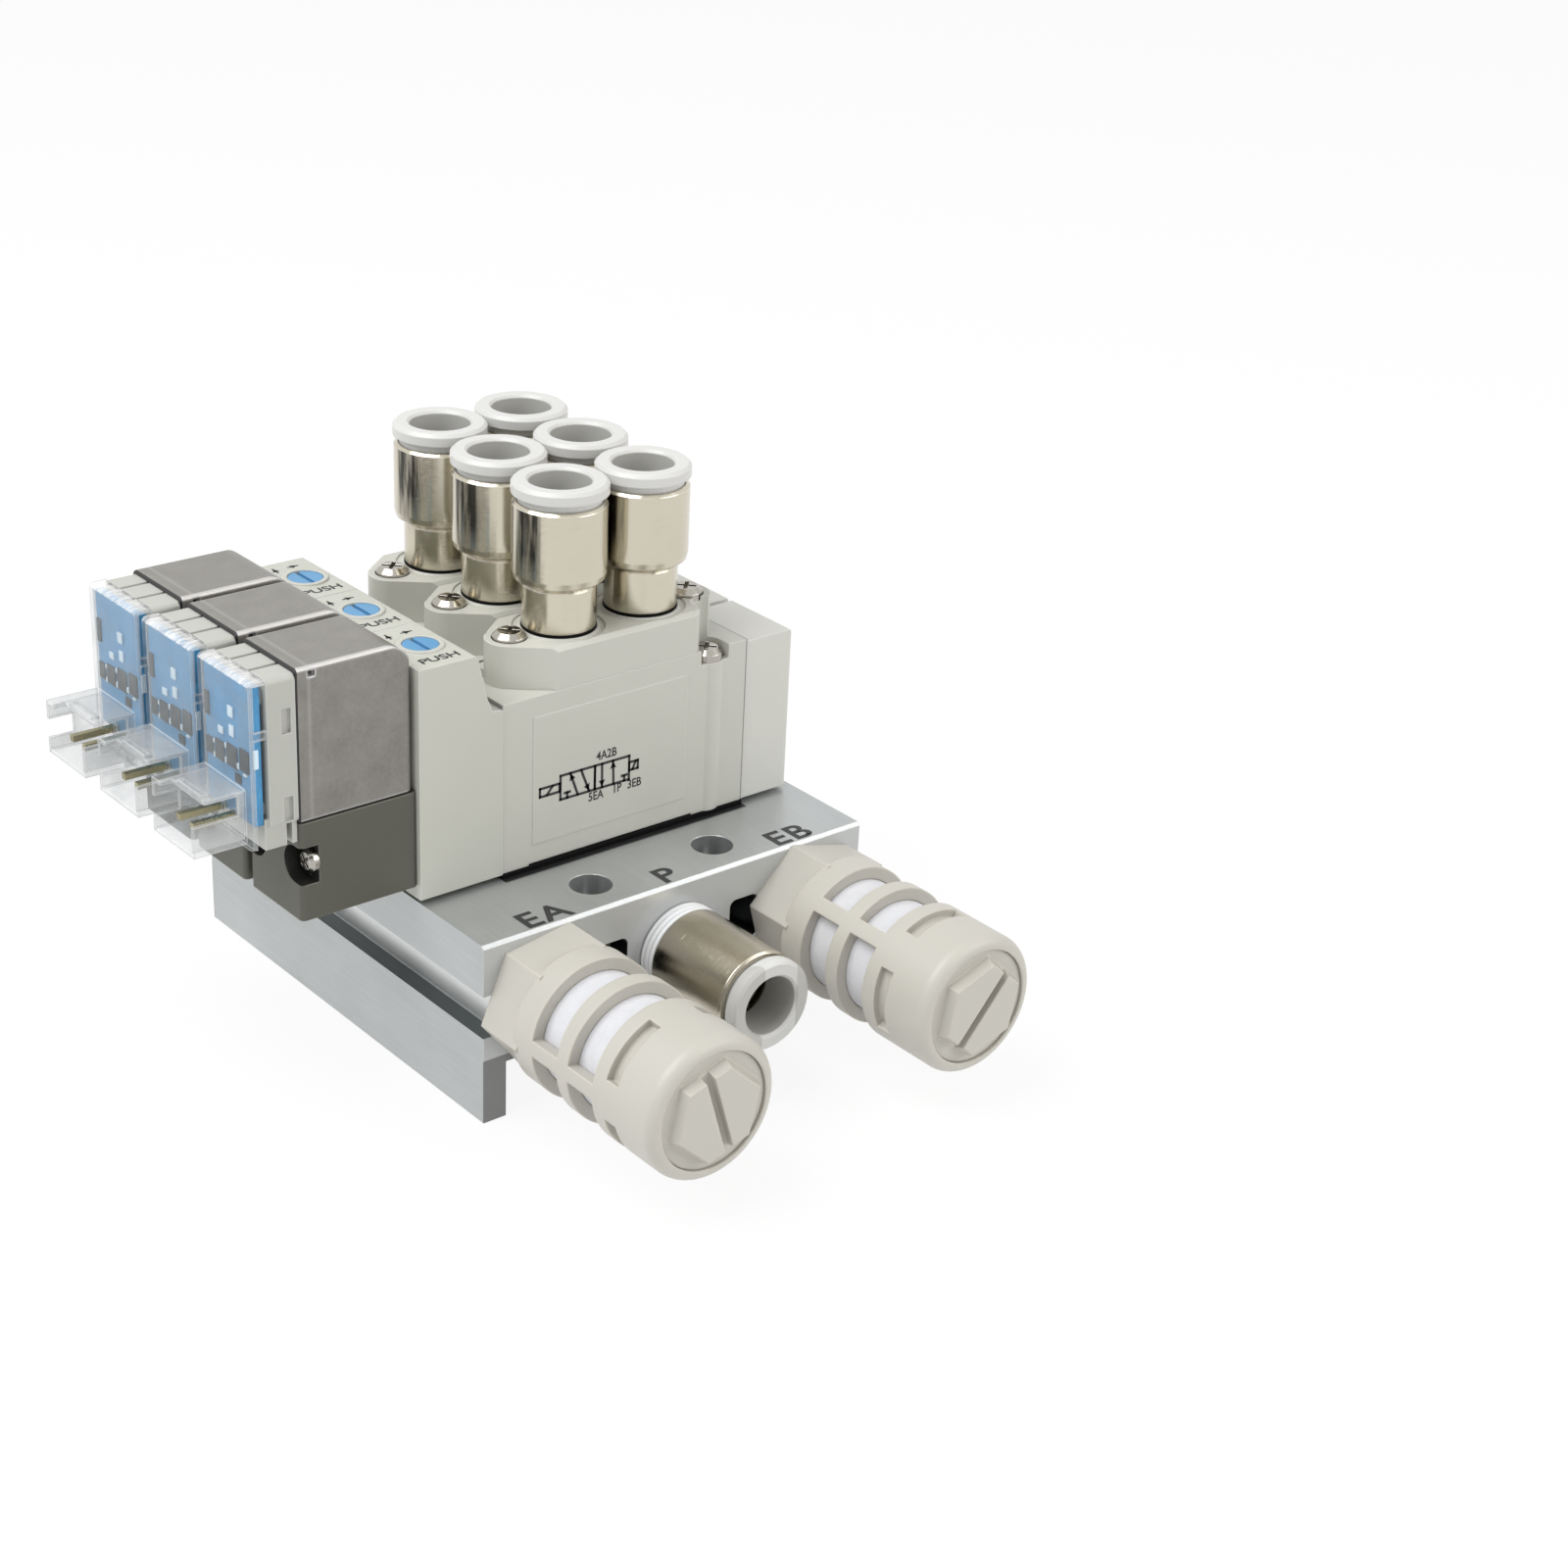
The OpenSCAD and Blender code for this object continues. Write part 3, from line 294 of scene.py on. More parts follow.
def milky_plastic(name, tint, haze, edge_highlight_haze):
    """Thin clear plastic: a grey haze over what is behind it, thicker on the plug sockets, with
    painted highlights along its edges, and a milky roof with streaks, whiter on its up-facing
    faces by a painted sheen."""
    level, roof_haze, socket_extra, grazing_haze = 0.6, 0.75, 1.2, 0.25
    material, tree, shader = new_material(name)
    grain = use(tree, GRAIN, Scale=(500, 2600, 500), Patch=260.0)
    soft = use(tree, EDGE, Radius=0.35 * MM)
    tone = use(tree, TONE, Colour=(*tint, 1), Edge_Colour=(0.9, 0.92, 0.93, 1),
               Grain=grain["Grain"], Patches=grain["Patches"], Edge=soft["Edge"], Variation=0.1,
               Roughness=0.14, Spread=0.1)
    where = position(tree)
    up = put(tree, "SeparateXYZ", Vector=surface_direction(tree)).outputs["Z"]
    # The roof's own milky streaks, with a painted sheen whitening its up-facing faces.
    roof_milk_and_sheen = product(tree, math_node(tree, "GREATER_THAN", up, level),
                   above(tree, where["Z"], ROOF_Z))
    socket = below(tree, where["X"], SOCKET_X)

    cloud = product(tree, ramp(tree, grain["Patches"], 0.3, 0.7), haze)
    cloud = math_node(tree, "ADD", cloud, haze * 0.5)
    thickness = math_node(tree, "ADD", product(tree, socket, socket_extra), 1.0)
    # Painted highlight: a whiter, more opaque haze along the edges.
    haze_all = math_node(tree, "ADD", product(tree, cloud, thickness),
                         product(tree, soft["Edge"], edge_highlight_haze), clamp=True)
    grazing = product(tree, put(tree, "LayerWeight", Blend=0.1).outputs["Fresnel"], grazing_haze)
    streaks = product(tree, roof_milk_and_sheen, ramp(tree, grain["Grain"], 0.25, 0.7), roof_haze)
    haze_all = math_node(tree, "MAXIMUM", haze_all, grazing)
    tree.links.new(math_node(tree, "MAXIMUM", haze_all, streaks), shader.inputs["Alpha"])

    colour = lay_over(tree, tone["Colour"], socket, 0.7, (0.66, 0.67, 0.67))
    colour = lay_over(tree, colour, roof_milk_and_sheen, 1.0, (0.78, 0.78, 0.77))
    relief = put(tree, "Bump", Strength=0.08, Distance=RELIEF_DEPTH, Height=grain["Patches"],
                 Normal=soft["Normal"])
    tree.links.new(colour, shader.inputs["Base Color"])
    tree.links.new(tone["Roughness"], shader.inputs["Roughness"])
    tree.links.new(relief.outputs[0], shader.inputs["Normal"])
    return material


def extruded_bar():
    """Aluminium bar with drawn lines along it and dull sawn ends. Painted shade darkens the ends
    of the feet, the floor of its side grooves and its inner channels, a painted highlight
    brightens the grooves' inner walls, and a painted reflection and shadow of the gaskets darkens
    its top along them."""
    bare_metal, sawn_loss = 0.75, 0.4
    material = finish("brushed aluminium", (0.47, 0.49, 0.49), edge=(0.86, 0.87, 0.87),
                      roughness=0.33, metallic=bare_metal, scale=(5000, 110, 5000), patch=90,
                      variation=0.3, spread=0.18, bump=0.2, radius=0.1)
    tree, shader, where, base = opened(material)
    aside = distance(tree, where["X"], 0.0)
    off_middle = distance(tree, where["Y"], 0.0)
    height = where["Z"]
    sawn_end = above(tree, off_middle, BAR_END_Y)
    # Painted shade: the ends of the feet darker than the rest of the sawn ends.
    foot_end_shade = product(tree, sawn_end, below(tree, height, FEET_TOP))
    groove = product(tree, above(tree, aside, GROOVE_WALL[0]), between(
        tree, height, (GROOVE_FLOOR - SLIVER, GROOVE_FLOOR + GROOVE_HEIGHT)))
    # Painted shade on the floor of the grooves, and a painted highlight on their inner walls.
    groove_floor_shade = product(tree, groove, below(tree, height, GROOVE_FLOOR + SLIVER))
    groove_wall_highlight = product(tree, groove, below(tree, aside, GROOVE_WALL[1]))
    # Painted shade: the inner channels coloured black.
    channel_shade = product(tree, between(tree, aside, CHANNEL_X), between(tree, height, CHANNEL_Z),
                      math_node(tree, "SUBTRACT", 1.0, sawn_end))
    # Painted reflection and contact shadow of the gaskets: a dark band on the top along them.
    painted_gasket_reflection = product(
        tree, between(tree, where["X"], GASKET_REFLECTION_X), above(tree, height, BASE_TOP - TOP_SKIN),
        ramp(tree, off_middle, GASKET_REFLECTION_Y[0] * MM, GASKET_REFLECTION_Y[1] * MM))
    for mask, share, colour in ((groove_floor_shade, 1.0, (0.10, 0.115, 0.115)),
                                (groove_wall_highlight, 0.8, (0.95, 0.96, 0.96)),
                                (sawn_end, 0.7, (0.52, 0.53, 0.53)),
                                (foot_end_shade, 0.9, (0.17, 0.175, 0.17)),
                                (painted_gasket_reflection, 0.9, (0.01, 0.01, 0.01)),
                                (channel_shade, 1.0, (0.006, 0.006, 0.006))):
        base = lay_over(tree, base, mask, share, colour)
    tree.links.new(base, shader.inputs["Base Color"])
    metal = math_node(tree, "SUBTRACT", bare_metal, product(tree, sawn_end, sawn_loss))
    tree.links.new(metal, shader.inputs["Metallic"])
    return material


def sheet_metal():
    """Coil cover: cloudy grey sheet with painted highlights along its rounded edges and its fold
    line, and painted shade in the notch in its corner. The moulded coil shows dark at its end."""
    plated = 0.4
    material = finish("grey plated sheet", (0.228, 0.219, 0.201), edge=(0.72, 0.72, 0.72),
                      roughness=0.42, metallic=plated, scale=(2600, 2600, 2600), patch=420,
                      variation=0.4, spread=0.2, bump=0.25, radius=0.42)
    tree, shader, where, base = opened(material)
    side = put(tree, "SeparateXYZ", Vector=surface_direction(tree)).outputs
    # Painted highlight along the rounded edges between the top and the sides.
    corner_highlight = product(tree, math_node(tree, "ABSOLUTE", side["Y"]), side["Z"])
    off_fold = distance(tree, where["X"], FOLD_X)
    # Painted highlight along the fold line.
    fold_highlight = math_node(tree, "SUBTRACT", 1.0, ramp(
        tree, off_fold, FOLD_BLUR[0] * MM, FOLD_BLUR[1] * MM))
    # Painted shade: the notch in the corner filled dark.
    notch_shade = product(tree, between(tree, where["X"], NOTCH_X), between(tree, where["Z"], NOTCH_Z),
                    above(tree, off_station(tree, where), NOTCH_OFF_MIDDLE), 0.85)
    coil_end = below(tree, where["X"], COIL_END + COIL_SHOWS)
    # The coil's own dark end, and the notch's painted shade.
    dark = math_node(tree, "MAXIMUM", coil_end, notch_shade)
    for mask, share, colour in ((ramp(tree, corner_highlight, 0.2, 0.42), 0.75, (0.62, 0.61, 0.60)),
                                (fold_highlight, 0.22, (0.5, 0.49, 0.48)),
                                (dark, 1.0, (0.012, 0.012, 0.012))):
        base = lay_over(tree, base, mask, share, colour)
    tree.links.new(base, shader.inputs["Base Color"])
    metal = product(tree, math_node(tree, "SUBTRACT", 1.0, coil_end), plated)
    tree.links.new(metal, shader.inputs["Metallic"])
    return material


def painted_body():
    """Grey paint of the valve bodies, with dark seams towards the adapter and the end plate."""
    material = finish("warm grey paint", (0.495, 0.495, 0.45), edge=(0.68, 0.68, 0.64),
                      roughness=0.42, scale=(6000, 6000, 6000), variation=0.05, bump=0.12,
                      radius=0.18)
    tree, shader, where, base = opened(material)
    seam = math_node(tree, "MAXIMUM", below(tree, where["X"], BODY_LEFT + SEAM),
                     above(tree, where["X"], BODY_RIGHT - SEAM))
    base = lay_over(tree, base, seam, 0.75, (0.10, 0.10, 0.095))
    tree.links.new(base, shader.inputs["Base Color"])
    return material


def pilot_plastic():
    """Olive plastic of the pilot bodies, with painted shade making the pockets of their screws
    nearly black.
    """
    material = finish("dark olive plastic", (0.079, 0.079, 0.062), edge=(0.19, 0.19, 0.16),
                      roughness=0.48, scale=(6000, 6000, 6000), variation=0.1, bump=0.15,
                      radius=0.2)
    tree, shader, where, base = opened(material)
    # Painted shade in the screw pockets.
    pocket_shade = product(tree, between(tree, where["X"], POCKET_X),
                     between(tree, where["Z"], POCKET_Z),
                     below(tree, off_station(tree, where), POCKET_HALF))
    base = lay_over(tree, base, pocket_shade, 0.9, (0.004, 0.004, 0.004))
    tree.links.new(base, shader.inputs["Base Color"])
    return material


def release_ring_plastic():
    """Milky plastic of the release rings, darker down their bores where little light falls."""
    material = finish("milky white plastic", (0.56, 0.56, 0.545), edge=(0.76, 0.76, 0.745),
                      roughness=0.35, variation=0.04, bump=0.03, radius=0.15)
    tree, shader, where, base = opened(material)
    middle, half = sum(OUTLET_X) / 2, (OUTLET_X[1] - OUTLET_X[0]) / 2
    off_row = math_node(tree, "SUBTRACT", distance(tree, where["X"], middle), half * MM)
    bores = []
    for across, along in ((off_row, off_station(tree, where)),
                          (where["X"], distance(tree, where["Z"], SUPPLY_Z))):
        radius = put(tree, "VectorMath", _0=put(tree, "CombineXYZ", X=across, Y=along).outputs[0])
        radius.operation = "LENGTH"
        bores.append(below(tree, radius.outputs["Value"], BORE_R))
    supply_bore = product(tree, bores[1], below(tree, where["Z"], BASE_TOP))
    bore = math_node(tree, "MAXIMUM", bores[0], supply_bore)
    base = lay_over(tree, base, bore, 0.42, (0.27, 0.265, 0.235))
    tree.links.new(base, shader.inputs["Base Color"])
    return material


def polished_barrels():
    """Turned nickel plate with a painted reflection: a dark, streaky band down the side of its
    barrels that faces left.
    """
    reflection_faces, reflection_edge = (-0.982, -0.189, 0.0), (0.93, 0.965)
    material = finish("nickel plate", (0.615, 0.572, 0.47), edge=(0.95, 0.92, 0.85),
                      roughness=0.13, metallic=1.0, scale=(500, 500, 15000), patch=160,
                      variation=0.08, spread=0.06, bump=0.3, radius=0.12)
    tree, shader, where, base = opened(material)
    # Painted reflection of dark surroundings, fixed to the direction that the surface faces.
    agreement = put(tree, "VectorMath", _0=surface_direction(tree), _1=reflection_faces)
    agreement.operation = "DOT_PRODUCT"
    painted_reflection_band = ramp(tree, agreement.outputs["Value"], *reflection_edge)
    high = ramp(tree, where["Z"], STREAKS_Z[0] * MM, STREAKS_Z[1] * MM)
    streak = ramp(tree, use(tree, GRAIN, Scale=(1500, 1500, 110), Patch=200.0)["Grain"], 0.3, 0.55)
    dark = product(tree, painted_reflection_band, high, math_node(tree, "MAXIMUM", streak, 0.45))
    base = lay_over(tree, base, dark, 0.93, (0.025, 0.025, 0.024))
    tree.links.new(base, shader.inputs["Base Color"])
    return material


brushed = extruded_bar()
spool_metal = finish("ground aluminium", (0.6, 0.6, 0.6), roughness=0.25, metallic=1.0,
                     variation=0.1)
body_grey = painted_body()
end_grey = moulded_grey("pale grey plastic, ends", (0.555, 0.56, 0.52), (0.76, 0.76, 0.73))
adapter_grey = moulded_grey("pale grey plastic, adapters", (0.48, 0.485, 0.435),
                            (0.72, 0.72, 0.68))
terminal_grey = moulded_grey("pale grey plastic, terminals", (0.42, 0.425, 0.39),
                             (0.66, 0.66, 0.63))
nickel = polished_barrels()
nickel_along = finish("nickel plate, turned along the row", (0.46, 0.42, 0.34),
                      edge=(0.95, 0.92, 0.85), roughness=0.15, metallic=1.0,
                      scale=(500, 15000, 500), patch=160, variation=0.08, spread=0.06, bump=0.3,
                      radius=0.12)
screw_steel = finish("plated steel", (0.44, 0.42, 0.38), edge=(0.85, 0.83, 0.78), roughness=0.18,
                     metallic=1.0, scale=(4000, 4000, 4000), patch=300, variation=0.15, spread=0.1,
                     bump=0.05, radius=0.08)
ring_white = release_ring_plastic()
coil_sheet = sheet_metal()
pilot_dark = pilot_plastic()
board_blue = finish("blue board", (0.055, 0.25, 0.48), edge=(0.04, 0.18, 0.36), roughness=0.4,
                    scale=(2500, 2500, 2500), patch=500, variation=0.6, bump=0.1, radius=0.1)
pin_brass = finish("plated brass", (0.42, 0.38, 0.24), roughness=0.25, metallic=1.0, variation=0.1,
                   radius=0.05)
rubber = finish("black rubber", (0.004, 0.004, 0.004), edge=(0.008, 0.008, 0.008), roughness=0.75,
                variation=0.1, bump=0.1)
rubber.node_tree.nodes["Principled BSDF"].inputs["Specular IOR Level"].default_value = 0.08
silencer_tone = finish("beige plastic", (0.47, 0.455, 0.41), edge=(0.66, 0.615, 0.53),
                       roughness=0.42, scale=(5000, 5000, 5000), variation=0.04, bump=0.06,
                       radius=0.3)
porous = finish("porous white", (0.60, 0.605, 0.63), roughness=0.9, scale=(5000, 5000, 5000),
                patch=900, variation=0.14, bump=0.4, radius=0.1)
seal_white = finish("white thread seal", (0.72, 0.73, 0.74), edge=(0.9, 0.9, 0.9), roughness=0.4,
                    variation=0.05)
override_blue = finish("blue button", (0.095, 0.28, 0.50), edge=(0.2, 0.4, 0.62), roughness=0.38,
                       variation=0.06)
clear = milky_plastic("clear plastic", (0.42, 0.45, 0.46), 0.12, 0.4)
ink = finish("black ink", (0.02, 0.02, 0.022), roughness=0.5, variation=0.2, bump=0.02,
             radius=0.02)
chip_brown = finish("dark brown chips", (0.012, 0.012, 0.014), edge=(0.06, 0.055, 0.06),
                    roughness=0.45, scale=(2500, 2500, 2500), patch=900, variation=0.6, bump=0.3,
                    radius=0.1)
lamp_and_highlight_white = finish("pale lamps and highlight spots", (0.62, 0.76, 0.86), edge=(0.85, 0.92, 0.95), roughness=0.3,
                    variation=0.1, radius=0.1)

# The finish of each CAD node, by the longest of these that its name starts with
FINISH_OF = {
    "manifold_base": brushed, "gaskets": rubber, "port_plugs": screw_steel,
    "valve_body": body_grey, "spool": spool_metal, "end_plate": end_grey, "port_plate": body_grey,
    "fitting_barrels": nickel, "release_ring": ring_white, "adapter_plate": adapter_grey,
    "override_seal": rubber, "override_button": override_blue, "coil_cover": coil_sheet,
    "pilot_body": pilot_dark, "terminal_housing": terminal_grey, "circuit_boards": board_blue,
    "terminal_pins": pin_brass, "connector_cover": clear, "supply_fitting": nickel_along,
    "supply_seal": seal_white, "collets": pin_brass, "tube_seals": rubber, "seat_rings": rubber,
    "silencer_housing": silencer_tone, "silencer_elements": porous, "silencer_caps": silencer_tone,
    "valve_screws": screw_steel, "port_plate_screws": screw_steel, "pilot_screws": screw_steel}

for name, part in nodes.items():
    prefix = max((p for p in FINISH_OF if name.startswith(p)), key=len)
    part.data.materials.clear()
    part.data.materials.append(FINISH_OF[prefix])


# Pieces made here

def piece(name, mesh, material, body="manifold"):
    """Makes an object of a bmesh whose sizes are in millimetres, and lets it ride on a body."""
    bmesh.ops.scale(mesh, vec=(MM, MM, MM), verts=mesh.verts)
    bmesh.ops.recalc_face_normals(mesh, faces=mesh.faces)
    data = bpy.data.meshes.new(name)
    mesh.to_mesh(data)
    mesh.free()
    data.materials.append(material)
    made = bpy.data.objects.new(name, data)
    bpy.context.scene.collection.objects.link(made)
    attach(made, body)


# Printed marks. A facing turns the plane that a mark is drawn in onto a face of the manifold.

TOP_FACE = Matrix.Identity(3)
FRONT_FACE = Matrix(((1, 0, 0), (0, 0, -1), (0, 1, 0)))
INK_ON_TOP = 0.02
INK_ON_FRONT = 0.015
LETTER_BOLD = 0.02  # twice as much makes a P of each B
ARROW_LENGTH, ARROW_HALF, ARROW_BACK = 0.8, 0.4, 0.1


def add_words(mesh, words, centre, height, facing, stretch=1.0, spacing=1.0):
    """Adds flat lettering, centred, read along the facing's first axis."""
    curve = bpy.data.curves.new("words", "FONT")
    curve.body = words
    curve.align_x = "CENTER"
    curve.align_y = "CENTER"
    curve.space_character = spacing
    curve.offset = LETTER_BOLD
    carrier = bpy.data.objects.new("words", curve)
    bpy.context.scene.collection.objects.link(carrier)
    data = bpy.data.meshes.new_from_object(carrier)
    bpy.data.objects.remove(carrier)
    bpy.data.curves.remove(curve)
    size = Matrix.Diagonal((height * stretch, height, 1, 1))
    data.transform(Matrix.Translation(centre) @ facing.to_4x4() @ size)
    mesh.from_mesh(data)
    bpy.data.meshes.remove(data)


def add_line(mesh, start, end, width, facing, origin):
    """Adds a flat line with square ends between two points of the facing's plane."""
    a, b = Vector((*start, 0)), Vector((*end, 0))
    along = (b - a).normalized()
    side = Vector((-along.y, along.x, 0)) * width / 2
    corners = [a - side - along * width / 2, b - side + along * width / 2,
               b + side + along * width / 2, a + side - along * width / 2]
    mesh.faces.new([mesh.verts.new(Vector(origin) + facing @ c) for c in corners])


def add_arrow(mesh, start, end, width, facing, origin):
    """Adds a flat line with an arrow head at its end."""
    add_line(mesh, start, end, width, facing, origin)
    a, b = Vector((*start, 0)), Vector((*end, 0))
    along = (b - a).normalized()
    side = Vector((-along.y, along.x, 0)) * ARROW_HALF
    neck = b - along * ARROW_LENGTH
    head = [b - along * ARROW_BACK, neck + side, neck - side]
    mesh.faces.new([mesh.verts.new(Vector(origin) + facing @ c) for c in head])


def port_letters():
    """The letters of the ports, in one row on the base's top."""
    row_y, height, stretch, spacing = -24.3, 4.1, 1.12, 1.12
    mesh = bmesh.new()
    for words, x in (("EA", -15.4), ("P", -0.4), ("EB", 15.6)):
        add_words(mesh, words, (x, row_y, BASE_TOP + INK_ON_TOP), height, TOP_FACE,
                  stretch=stretch, spacing=spacing)
    piece("port_letters", mesh, ink)


# The valve symbol: boxes by their left, bottom, right and top, arrows and strokes by their start
# and end, words by their middle
SYMBOL_AT = (-3.0, 26.45)
SYMBOL_STROKE = 0.29
SYMBOL_BOXES = ((-4.25, 0, 0, 2.62), (0, 0, 4.3, 2.62), (-6.75, 0.93, -4.35, 1.82),
                (4.3, 1.0, 5.4, 1.88))
SYMBOL_ARROWS = (((-2.1, 0), (-3.05, 2.6)), ((-1.72, 2.6), (-0.71, 0.05)), ((0.88, 2.6), (0.9, 0)),
                 ((2.35, 0), (2.25, 2.6)))
CLOSED_PORTS_X = (-3.4, 3.7)
CLOSED_PORT_HALF, CLOSED_PORT_TOP = 0.3, 0.6
COIL_STROKES = (((-5.9, 0.98), (-5.2, 1.78)), ((4.75, 1.05), (5.1, 1.83)))
SYMBOL_WORDS = (("4A2B", 1.42, 3.55), ("5EA", 0.15, -0.75), ("1P", 2.8, -0.62),
                ("3EB", 5.0, -0.62))
SYMBOL_WORD_HEIGHT, SYMBOL_WORD_STRETCH = 1.35, 0.84


def valve_symbol(station, y):
    """Five-port two-position valve symbol with its port numbers, on the body's front."""
    mesh = bmesh.new()
    origin = (SYMBOL_AT[0], y + BODY_FRONT - INK_ON_FRONT, SYMBOL_AT[1])
    for x0, z0, x1, z1 in SYMBOL_BOXES:
        corners = ((x0, z0), (x1, z0), (x1, z1), (x0, z1))
        for start, end in zip(corners, corners[1:] + corners[:1]):
            add_line(mesh, start, end, SYMBOL_STROKE, FRONT_FACE, origin)
    for start, end in SYMBOL_ARROWS:
        add_arrow(mesh, start, end, SYMBOL_STROKE, FRONT_FACE, origin)
    for x in CLOSED_PORTS_X:
        left, right = x - CLOSED_PORT_HALF, x + CLOSED_PORT_HALF
        for start, end in (((left, CLOSED_PORT_TOP), (right, CLOSED_PORT_TOP)),
                           ((x, 0), (x, CLOSED_PORT_TOP))):
            add_line(mesh, start, end, SYMBOL_STROKE, FRONT_FACE, origin)
    for start, end in COIL_STROKES:
        add_line(mesh, start, end, SYMBOL_STROKE, FRONT_FACE, origin)
    for words, x, z in SYMBOL_WORDS:
        add_words(mesh, words, Vector(origin) + Vector((x, 0, z)), SYMBOL_WORD_HEIGHT, FRONT_FACE,
                  stretch=SYMBOL_WORD_STRETCH)
    piece(f"valve_symbol_{station}", mesh, ink)


# The word and the two arrows beside an override button
PUSH_AT, PUSH_HEIGHT, PUSH_STRETCH = (-20.5, -3.6), 1.55, 1.2
ARROWS_AT, ARROW_STROKE = (-20.6, 3.3), 0.2
BUTTON_ARROWS = (((-1.2, -0.5), (-1.2, 0.6)), ((0.4, 0.2), (1.5, 0.2)))


def override_marks(station, y):
    mesh = bmesh.new()
    top = ADAPTER_TOP + INK_ON_TOP
    add_words(mesh, "PUSH", (PUSH_AT[0], y + PUSH_AT[1], top), PUSH_HEIGHT, TOP_FACE,
              stretch=PUSH_STRETCH)
    for start, end in BUTTON_ARROWS:
        add_arrow(mesh, start, end, ARROW_STROKE, TOP_FACE, (ARROWS_AT[0], y + ARROWS_AT[1], top))
    piece(f"override_marks_{station}", mesh, ink)


# The parts on a circuit board, each by its place across and up, its width and its height
CHIPS = ((3.45, 38.1, 1.1, 1.7), (1.6, 38.2, 1.7, 2.0), (-0.6, 38.4, 1.8, 2.2),
         (-2.8, 38.7, 1.6, 2.2), (-1.6, 36.5, 1.0, 0.9), (3.7, 42.3, 0.7, 2.4))
# Pale lamps, then small pale solder spots that also stand as painted highlights between the chips.
LAMPS_AND_HIGHLIGHT_SPOTS = ((-0.6, 42.9, 0.9, 1.1), (-0.7, 41.0, 0.8, 1.1), (1.3, 40.4, 0.9, 0.7),
         (2.6, 37.4, 0.3, 0.5), (0.5, 37.6, 0.3, 0.6), (-1.7, 37.8, 0.35, 0.6),
         (2.6, 38.8, 0.3, 0.4), (0.5, 39.1, 0.3, 0.5), (-2.9, 37.3, 0.6, 0.25))
CHIP_THICK, CHIP_SUNK, CHIP_ROUND = 0.2, 0.09, 0.3
EDGE_LAMP_AT, EDGE_LAMP_SIZE = (0.3, -0.05, 39.3), (0.5, 0.2, 1.9)
LUG_SIDES = 24
LUG_RING_X, LUG_RING_R, LUG_RING_STRETCH, LUG_RING_WIDTH = 0.55, 0.5, 1.8, 0.2


def add_chip(mesh, centre, size):
    """Adds a small block with rounded corners."""
    made = bmesh.ops.create_cube(mesh, size=1.0)["verts"]
    bmesh.ops.scale(mesh, vec=size, verts=made)
    bmesh.ops.translate(mesh, vec=centre, verts=made)
    edges = {edge for vert in made for edge in vert.link_edges}
    bmesh.ops.bevel(mesh, geom=list(edges), offset=CHIP_ROUND * min(size), segments=2, profile=0.5,
                    affect="EDGES", material=-1)


def add_lug_ring(mesh, y):
    """Adds the pale ring that rims a cover's lug on its front side."""
    ring = bmesh.ops.create_circle(mesh, cap_ends=True, segments=LUG_SIDES,
                                   radius=LUG_RING_R)["verts"]
    bmesh.ops.rotate(mesh, verts=ring, matrix=Matrix.Rotation(math.radians(90), 3, "X"))
    bmesh.ops.scale(mesh, vec=(LUG_RING_STRETCH, 1, 1), verts=ring)
    bmesh.ops.translate(mesh, vec=(BOARD_FACE + LUG_RING_X, y - LUG_OUT, LUG_Z), verts=ring)
    face = next(f for f in mesh.faces if len(f.verts) == LUG_SIDES)
    bmesh.ops.inset_region(mesh, faces=[face], thickness=LUG_RING_WIDTH)
    bmesh.ops.delete(mesh, geom=[face], context="FACES")


def board_parts(station, y):
    """The parts soldered on a circuit board, seen through the clear cover."""
    chips, lamps = bmesh.new(), bmesh.new()
    for mesh, table in ((chips, CHIPS), (lamps, LAMPS_AND_HIGHLIGHT_SPOTS)):
        for across, z, wide, tall in table:
            add_chip(mesh, (BOARD_FACE - CHIP_SUNK, y + across, z), (CHIP_THICK, wide, tall))
    x, aside, z = EDGE_LAMP_AT
    add_chip(lamps, (BOARD_FACE + x, y - BOARD_HALF + aside, z), EDGE_LAMP_SIZE)
    add_lug_ring(lamps, y)
    piece(f"board_chips_{station}", chips, chip_brown)
    piece(f"board_lamps_and_highlights_{station}", lamps, lamp_and_highlight_white)


port_letters()
for station, y in STATIONS.items():
    valve_symbol(station, y)
    override_marks(station, y)
    board_parts(station, y)


# Camera at the photograph's viewing angle

PHOTO_WIDTH = 1600
FOCAL_PIXELS = 2880.477
SENSOR = 36.0
CAMERA_AT = (-157.1954, -221.6265, 149.2145)
CAMERA_LOOKS = (0.593903, 0.682046, -0.426723)
CAMERA_ROLL = 2.88098754556329


def aim_camera():
    forward = Vector(CAMERA_LOOKS).normalized()
    right = forward.cross(Vector((0, 0, 1))).normalized()
    up = right.cross(forward)
    roll = math.radians(CAMERA_ROLL)
    across = right * math.cos(roll) + up * math.sin(roll)
    upward = up * math.cos(roll) - right * math.sin(roll)
    data = bpy.data.cameras.new("camera")
    data.sensor_width = SENSOR
    data.lens = SENSOR * FOCAL_PIXELS / PHOTO_WIDTH
    data.clip_start, data.clip_end = 0.01, 20.0
    camera = bpy.data.objects.new("camera", data)
    turn = Matrix((across, upward, -forward)).transposed()
    camera.matrix_world = Matrix.Translation(Vector(CAMERA_AT) * MM) @ turn.to_4x4()
    bpy.context.scene.collection.objects.link(camera)
    bpy.context.scene.camera = camera


# Studio: white floor and surroundings, two soft lamps, and two dark cards for the metal to mirror

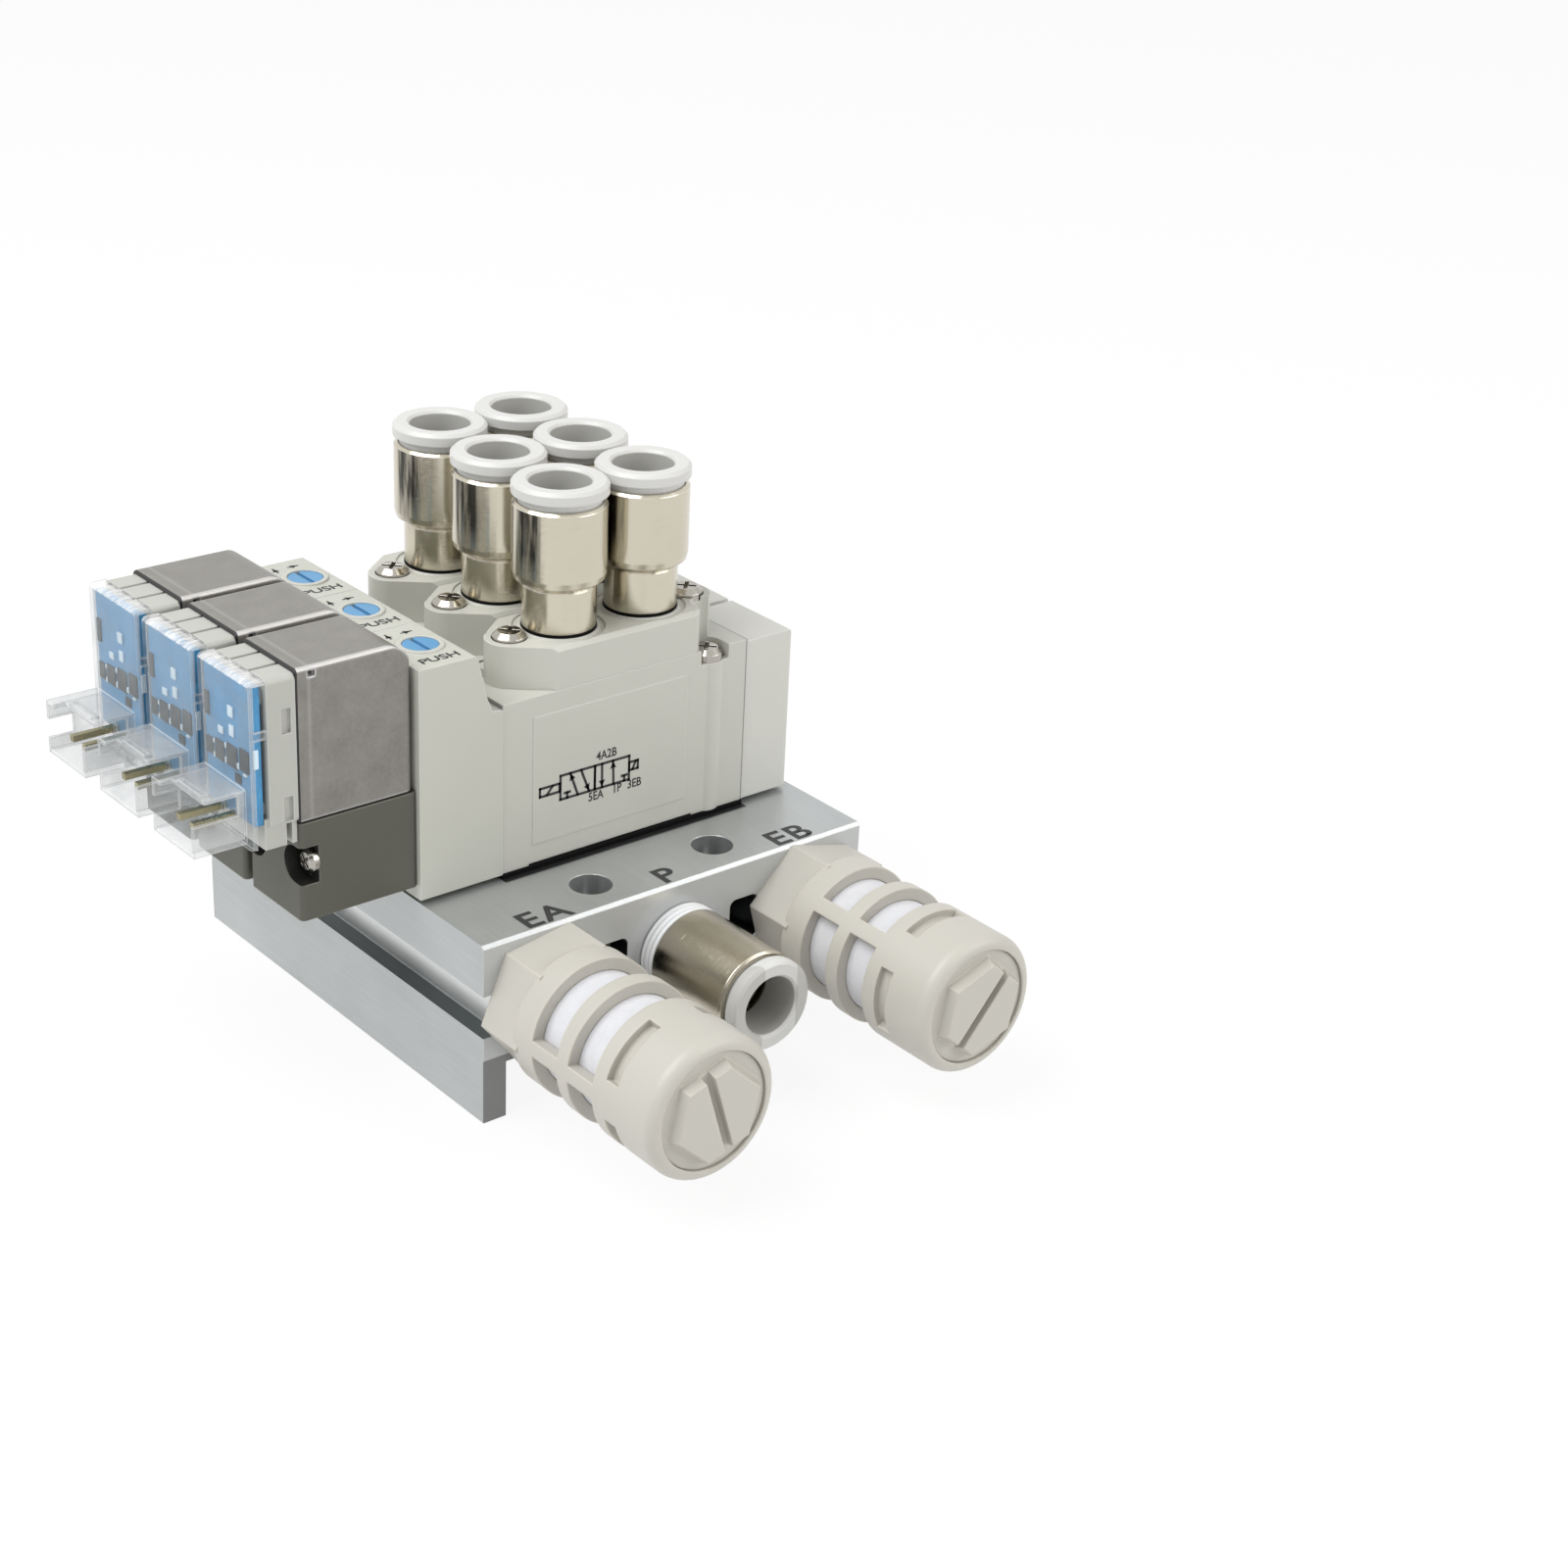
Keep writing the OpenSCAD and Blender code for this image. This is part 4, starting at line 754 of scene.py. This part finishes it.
def white_through_paths(tree, shader, share=1.0):
    """White for camera, glossy and transmitted rays, and the given shader for the rest."""
    paths = tree.nodes.new("ShaderNodeLightPath").outputs
    seen = math_node(tree, "MAXIMUM", paths["Is Camera Ray"], paths["Is Glossy Ray"])
    seen = math_node(tree, "MAXIMUM", seen, paths["Is Transmission Ray"])
    white = put(tree, "Emission", Color=(1, 1, 1, 1), Strength=1.0)
    mixed = tree.nodes.new("ShaderNodeMixShader")
    tree.links.new(product(tree, seen, share), mixed.inputs[0])
    tree.links.new(shader, mixed.inputs[1])
    tree.links.new(white.outputs[0], mixed.inputs[2])
    return mixed.outputs[0]


def light_surroundings():
    world = bpy.data.worlds.new("studio")
    bpy.context.scene.world = world
    world.use_nodes = True
    sky = world.node_tree
    ambient = sky.nodes["Background"]
    ambient.inputs[0].default_value = (1, 1, 1, 1)
    ambient.inputs[1].default_value = 0.55
    lit = white_through_paths(sky, ambient.outputs[0])
    sky.links.new(lit, sky.nodes["World Output"].inputs[0])


def flat_sheet(name, size, width, depth, material):
    """A flat sheet centred on its origin, of the stage and not of the part."""
    mesh = bmesh.new()
    bmesh.ops.create_grid(mesh, x_segments=1, y_segments=1, size=size)
    bmesh.ops.scale(mesh, vec=(width, depth, 1), verts=mesh.verts)
    data = bpy.data.meshes.new(name)
    mesh.to_mesh(data)
    mesh.free()
    data.materials.append(material)
    sheet = bpy.data.objects.new(name, data)
    bpy.context.scene.collection.objects.link(sheet)
    return sheet


def plain_material(name, colour):
    material, tree, shader = new_material(name)
    shader.inputs["Base Color"].default_value = (*colour, 1)
    shader.inputs["Roughness"].default_value = 0.9
    return material, tree, shader


def lay_floor():
    """White paper under the part that keeps its shadow."""
    paper, tree, shader = plain_material("paper floor", (0.86, 0.86, 0.86))
    shown = white_through_paths(tree, shader.outputs[0], share=0.9)
    tree.links.new(shown, tree.nodes["Material Output"].inputs[0])
    floor = flat_sheet("floor", 1.0, 1, 1, paper)
    floor.location = (0, 0, -0.1 * MM)


def turned_to(spot, target, axis):
    """The turn that points an axis of something at a spot to its target."""
    return (Vector(target) - Vector(spot)).to_track_quat(axis, "Y").to_euler()


def soft_lamp(name, spot, size, power, tint=(1, 1, 1)):
    data = bpy.data.lights.new(name, "AREA")
    data.shape = "RECTANGLE"
    data.size, data.size_y = size
    data.energy = power
    data.color = tint
    lamp = bpy.data.objects.new(name, data)
    lamp.location = spot
    lamp.rotation_euler = turned_to(spot, (0, 0, 0.02), "-Z")
    bpy.context.scene.collection.objects.link(lamp)


def dark_card(name, spot, size):
    """A card out of the camera's sight that the polished metal mirrors."""
    black = plain_material(name, (0.03, 0.03, 0.025))[0]
    card = flat_sheet(name, 0.5, size[0], size[1], black)
    card.location = spot
    card.rotation_euler = turned_to(spot, (0, 0, 0.045), "Z")
    card.visible_camera = False
    card.visible_diffuse = False
    card.visible_shadow = False
    card.visible_transmission = False


aim_camera()
light_surroundings()
lay_floor()
soft_lamp("key", (-0.35, 0.05, 0.55), (0.5, 0.5), 4.0)
soft_lamp("fill", (0.35, -0.5, 0.35), (0.5, 0.4), 2.0, (1, 0.98, 0.95))
dark_card("card_left", (-0.5, -0.12, 0.08), (0.16, 0.5))
dark_card("card_front", (0.02, -0.55, 0.08), (0.10, 0.5))

bpy.context.scene.view_settings.view_transform = "Standard"
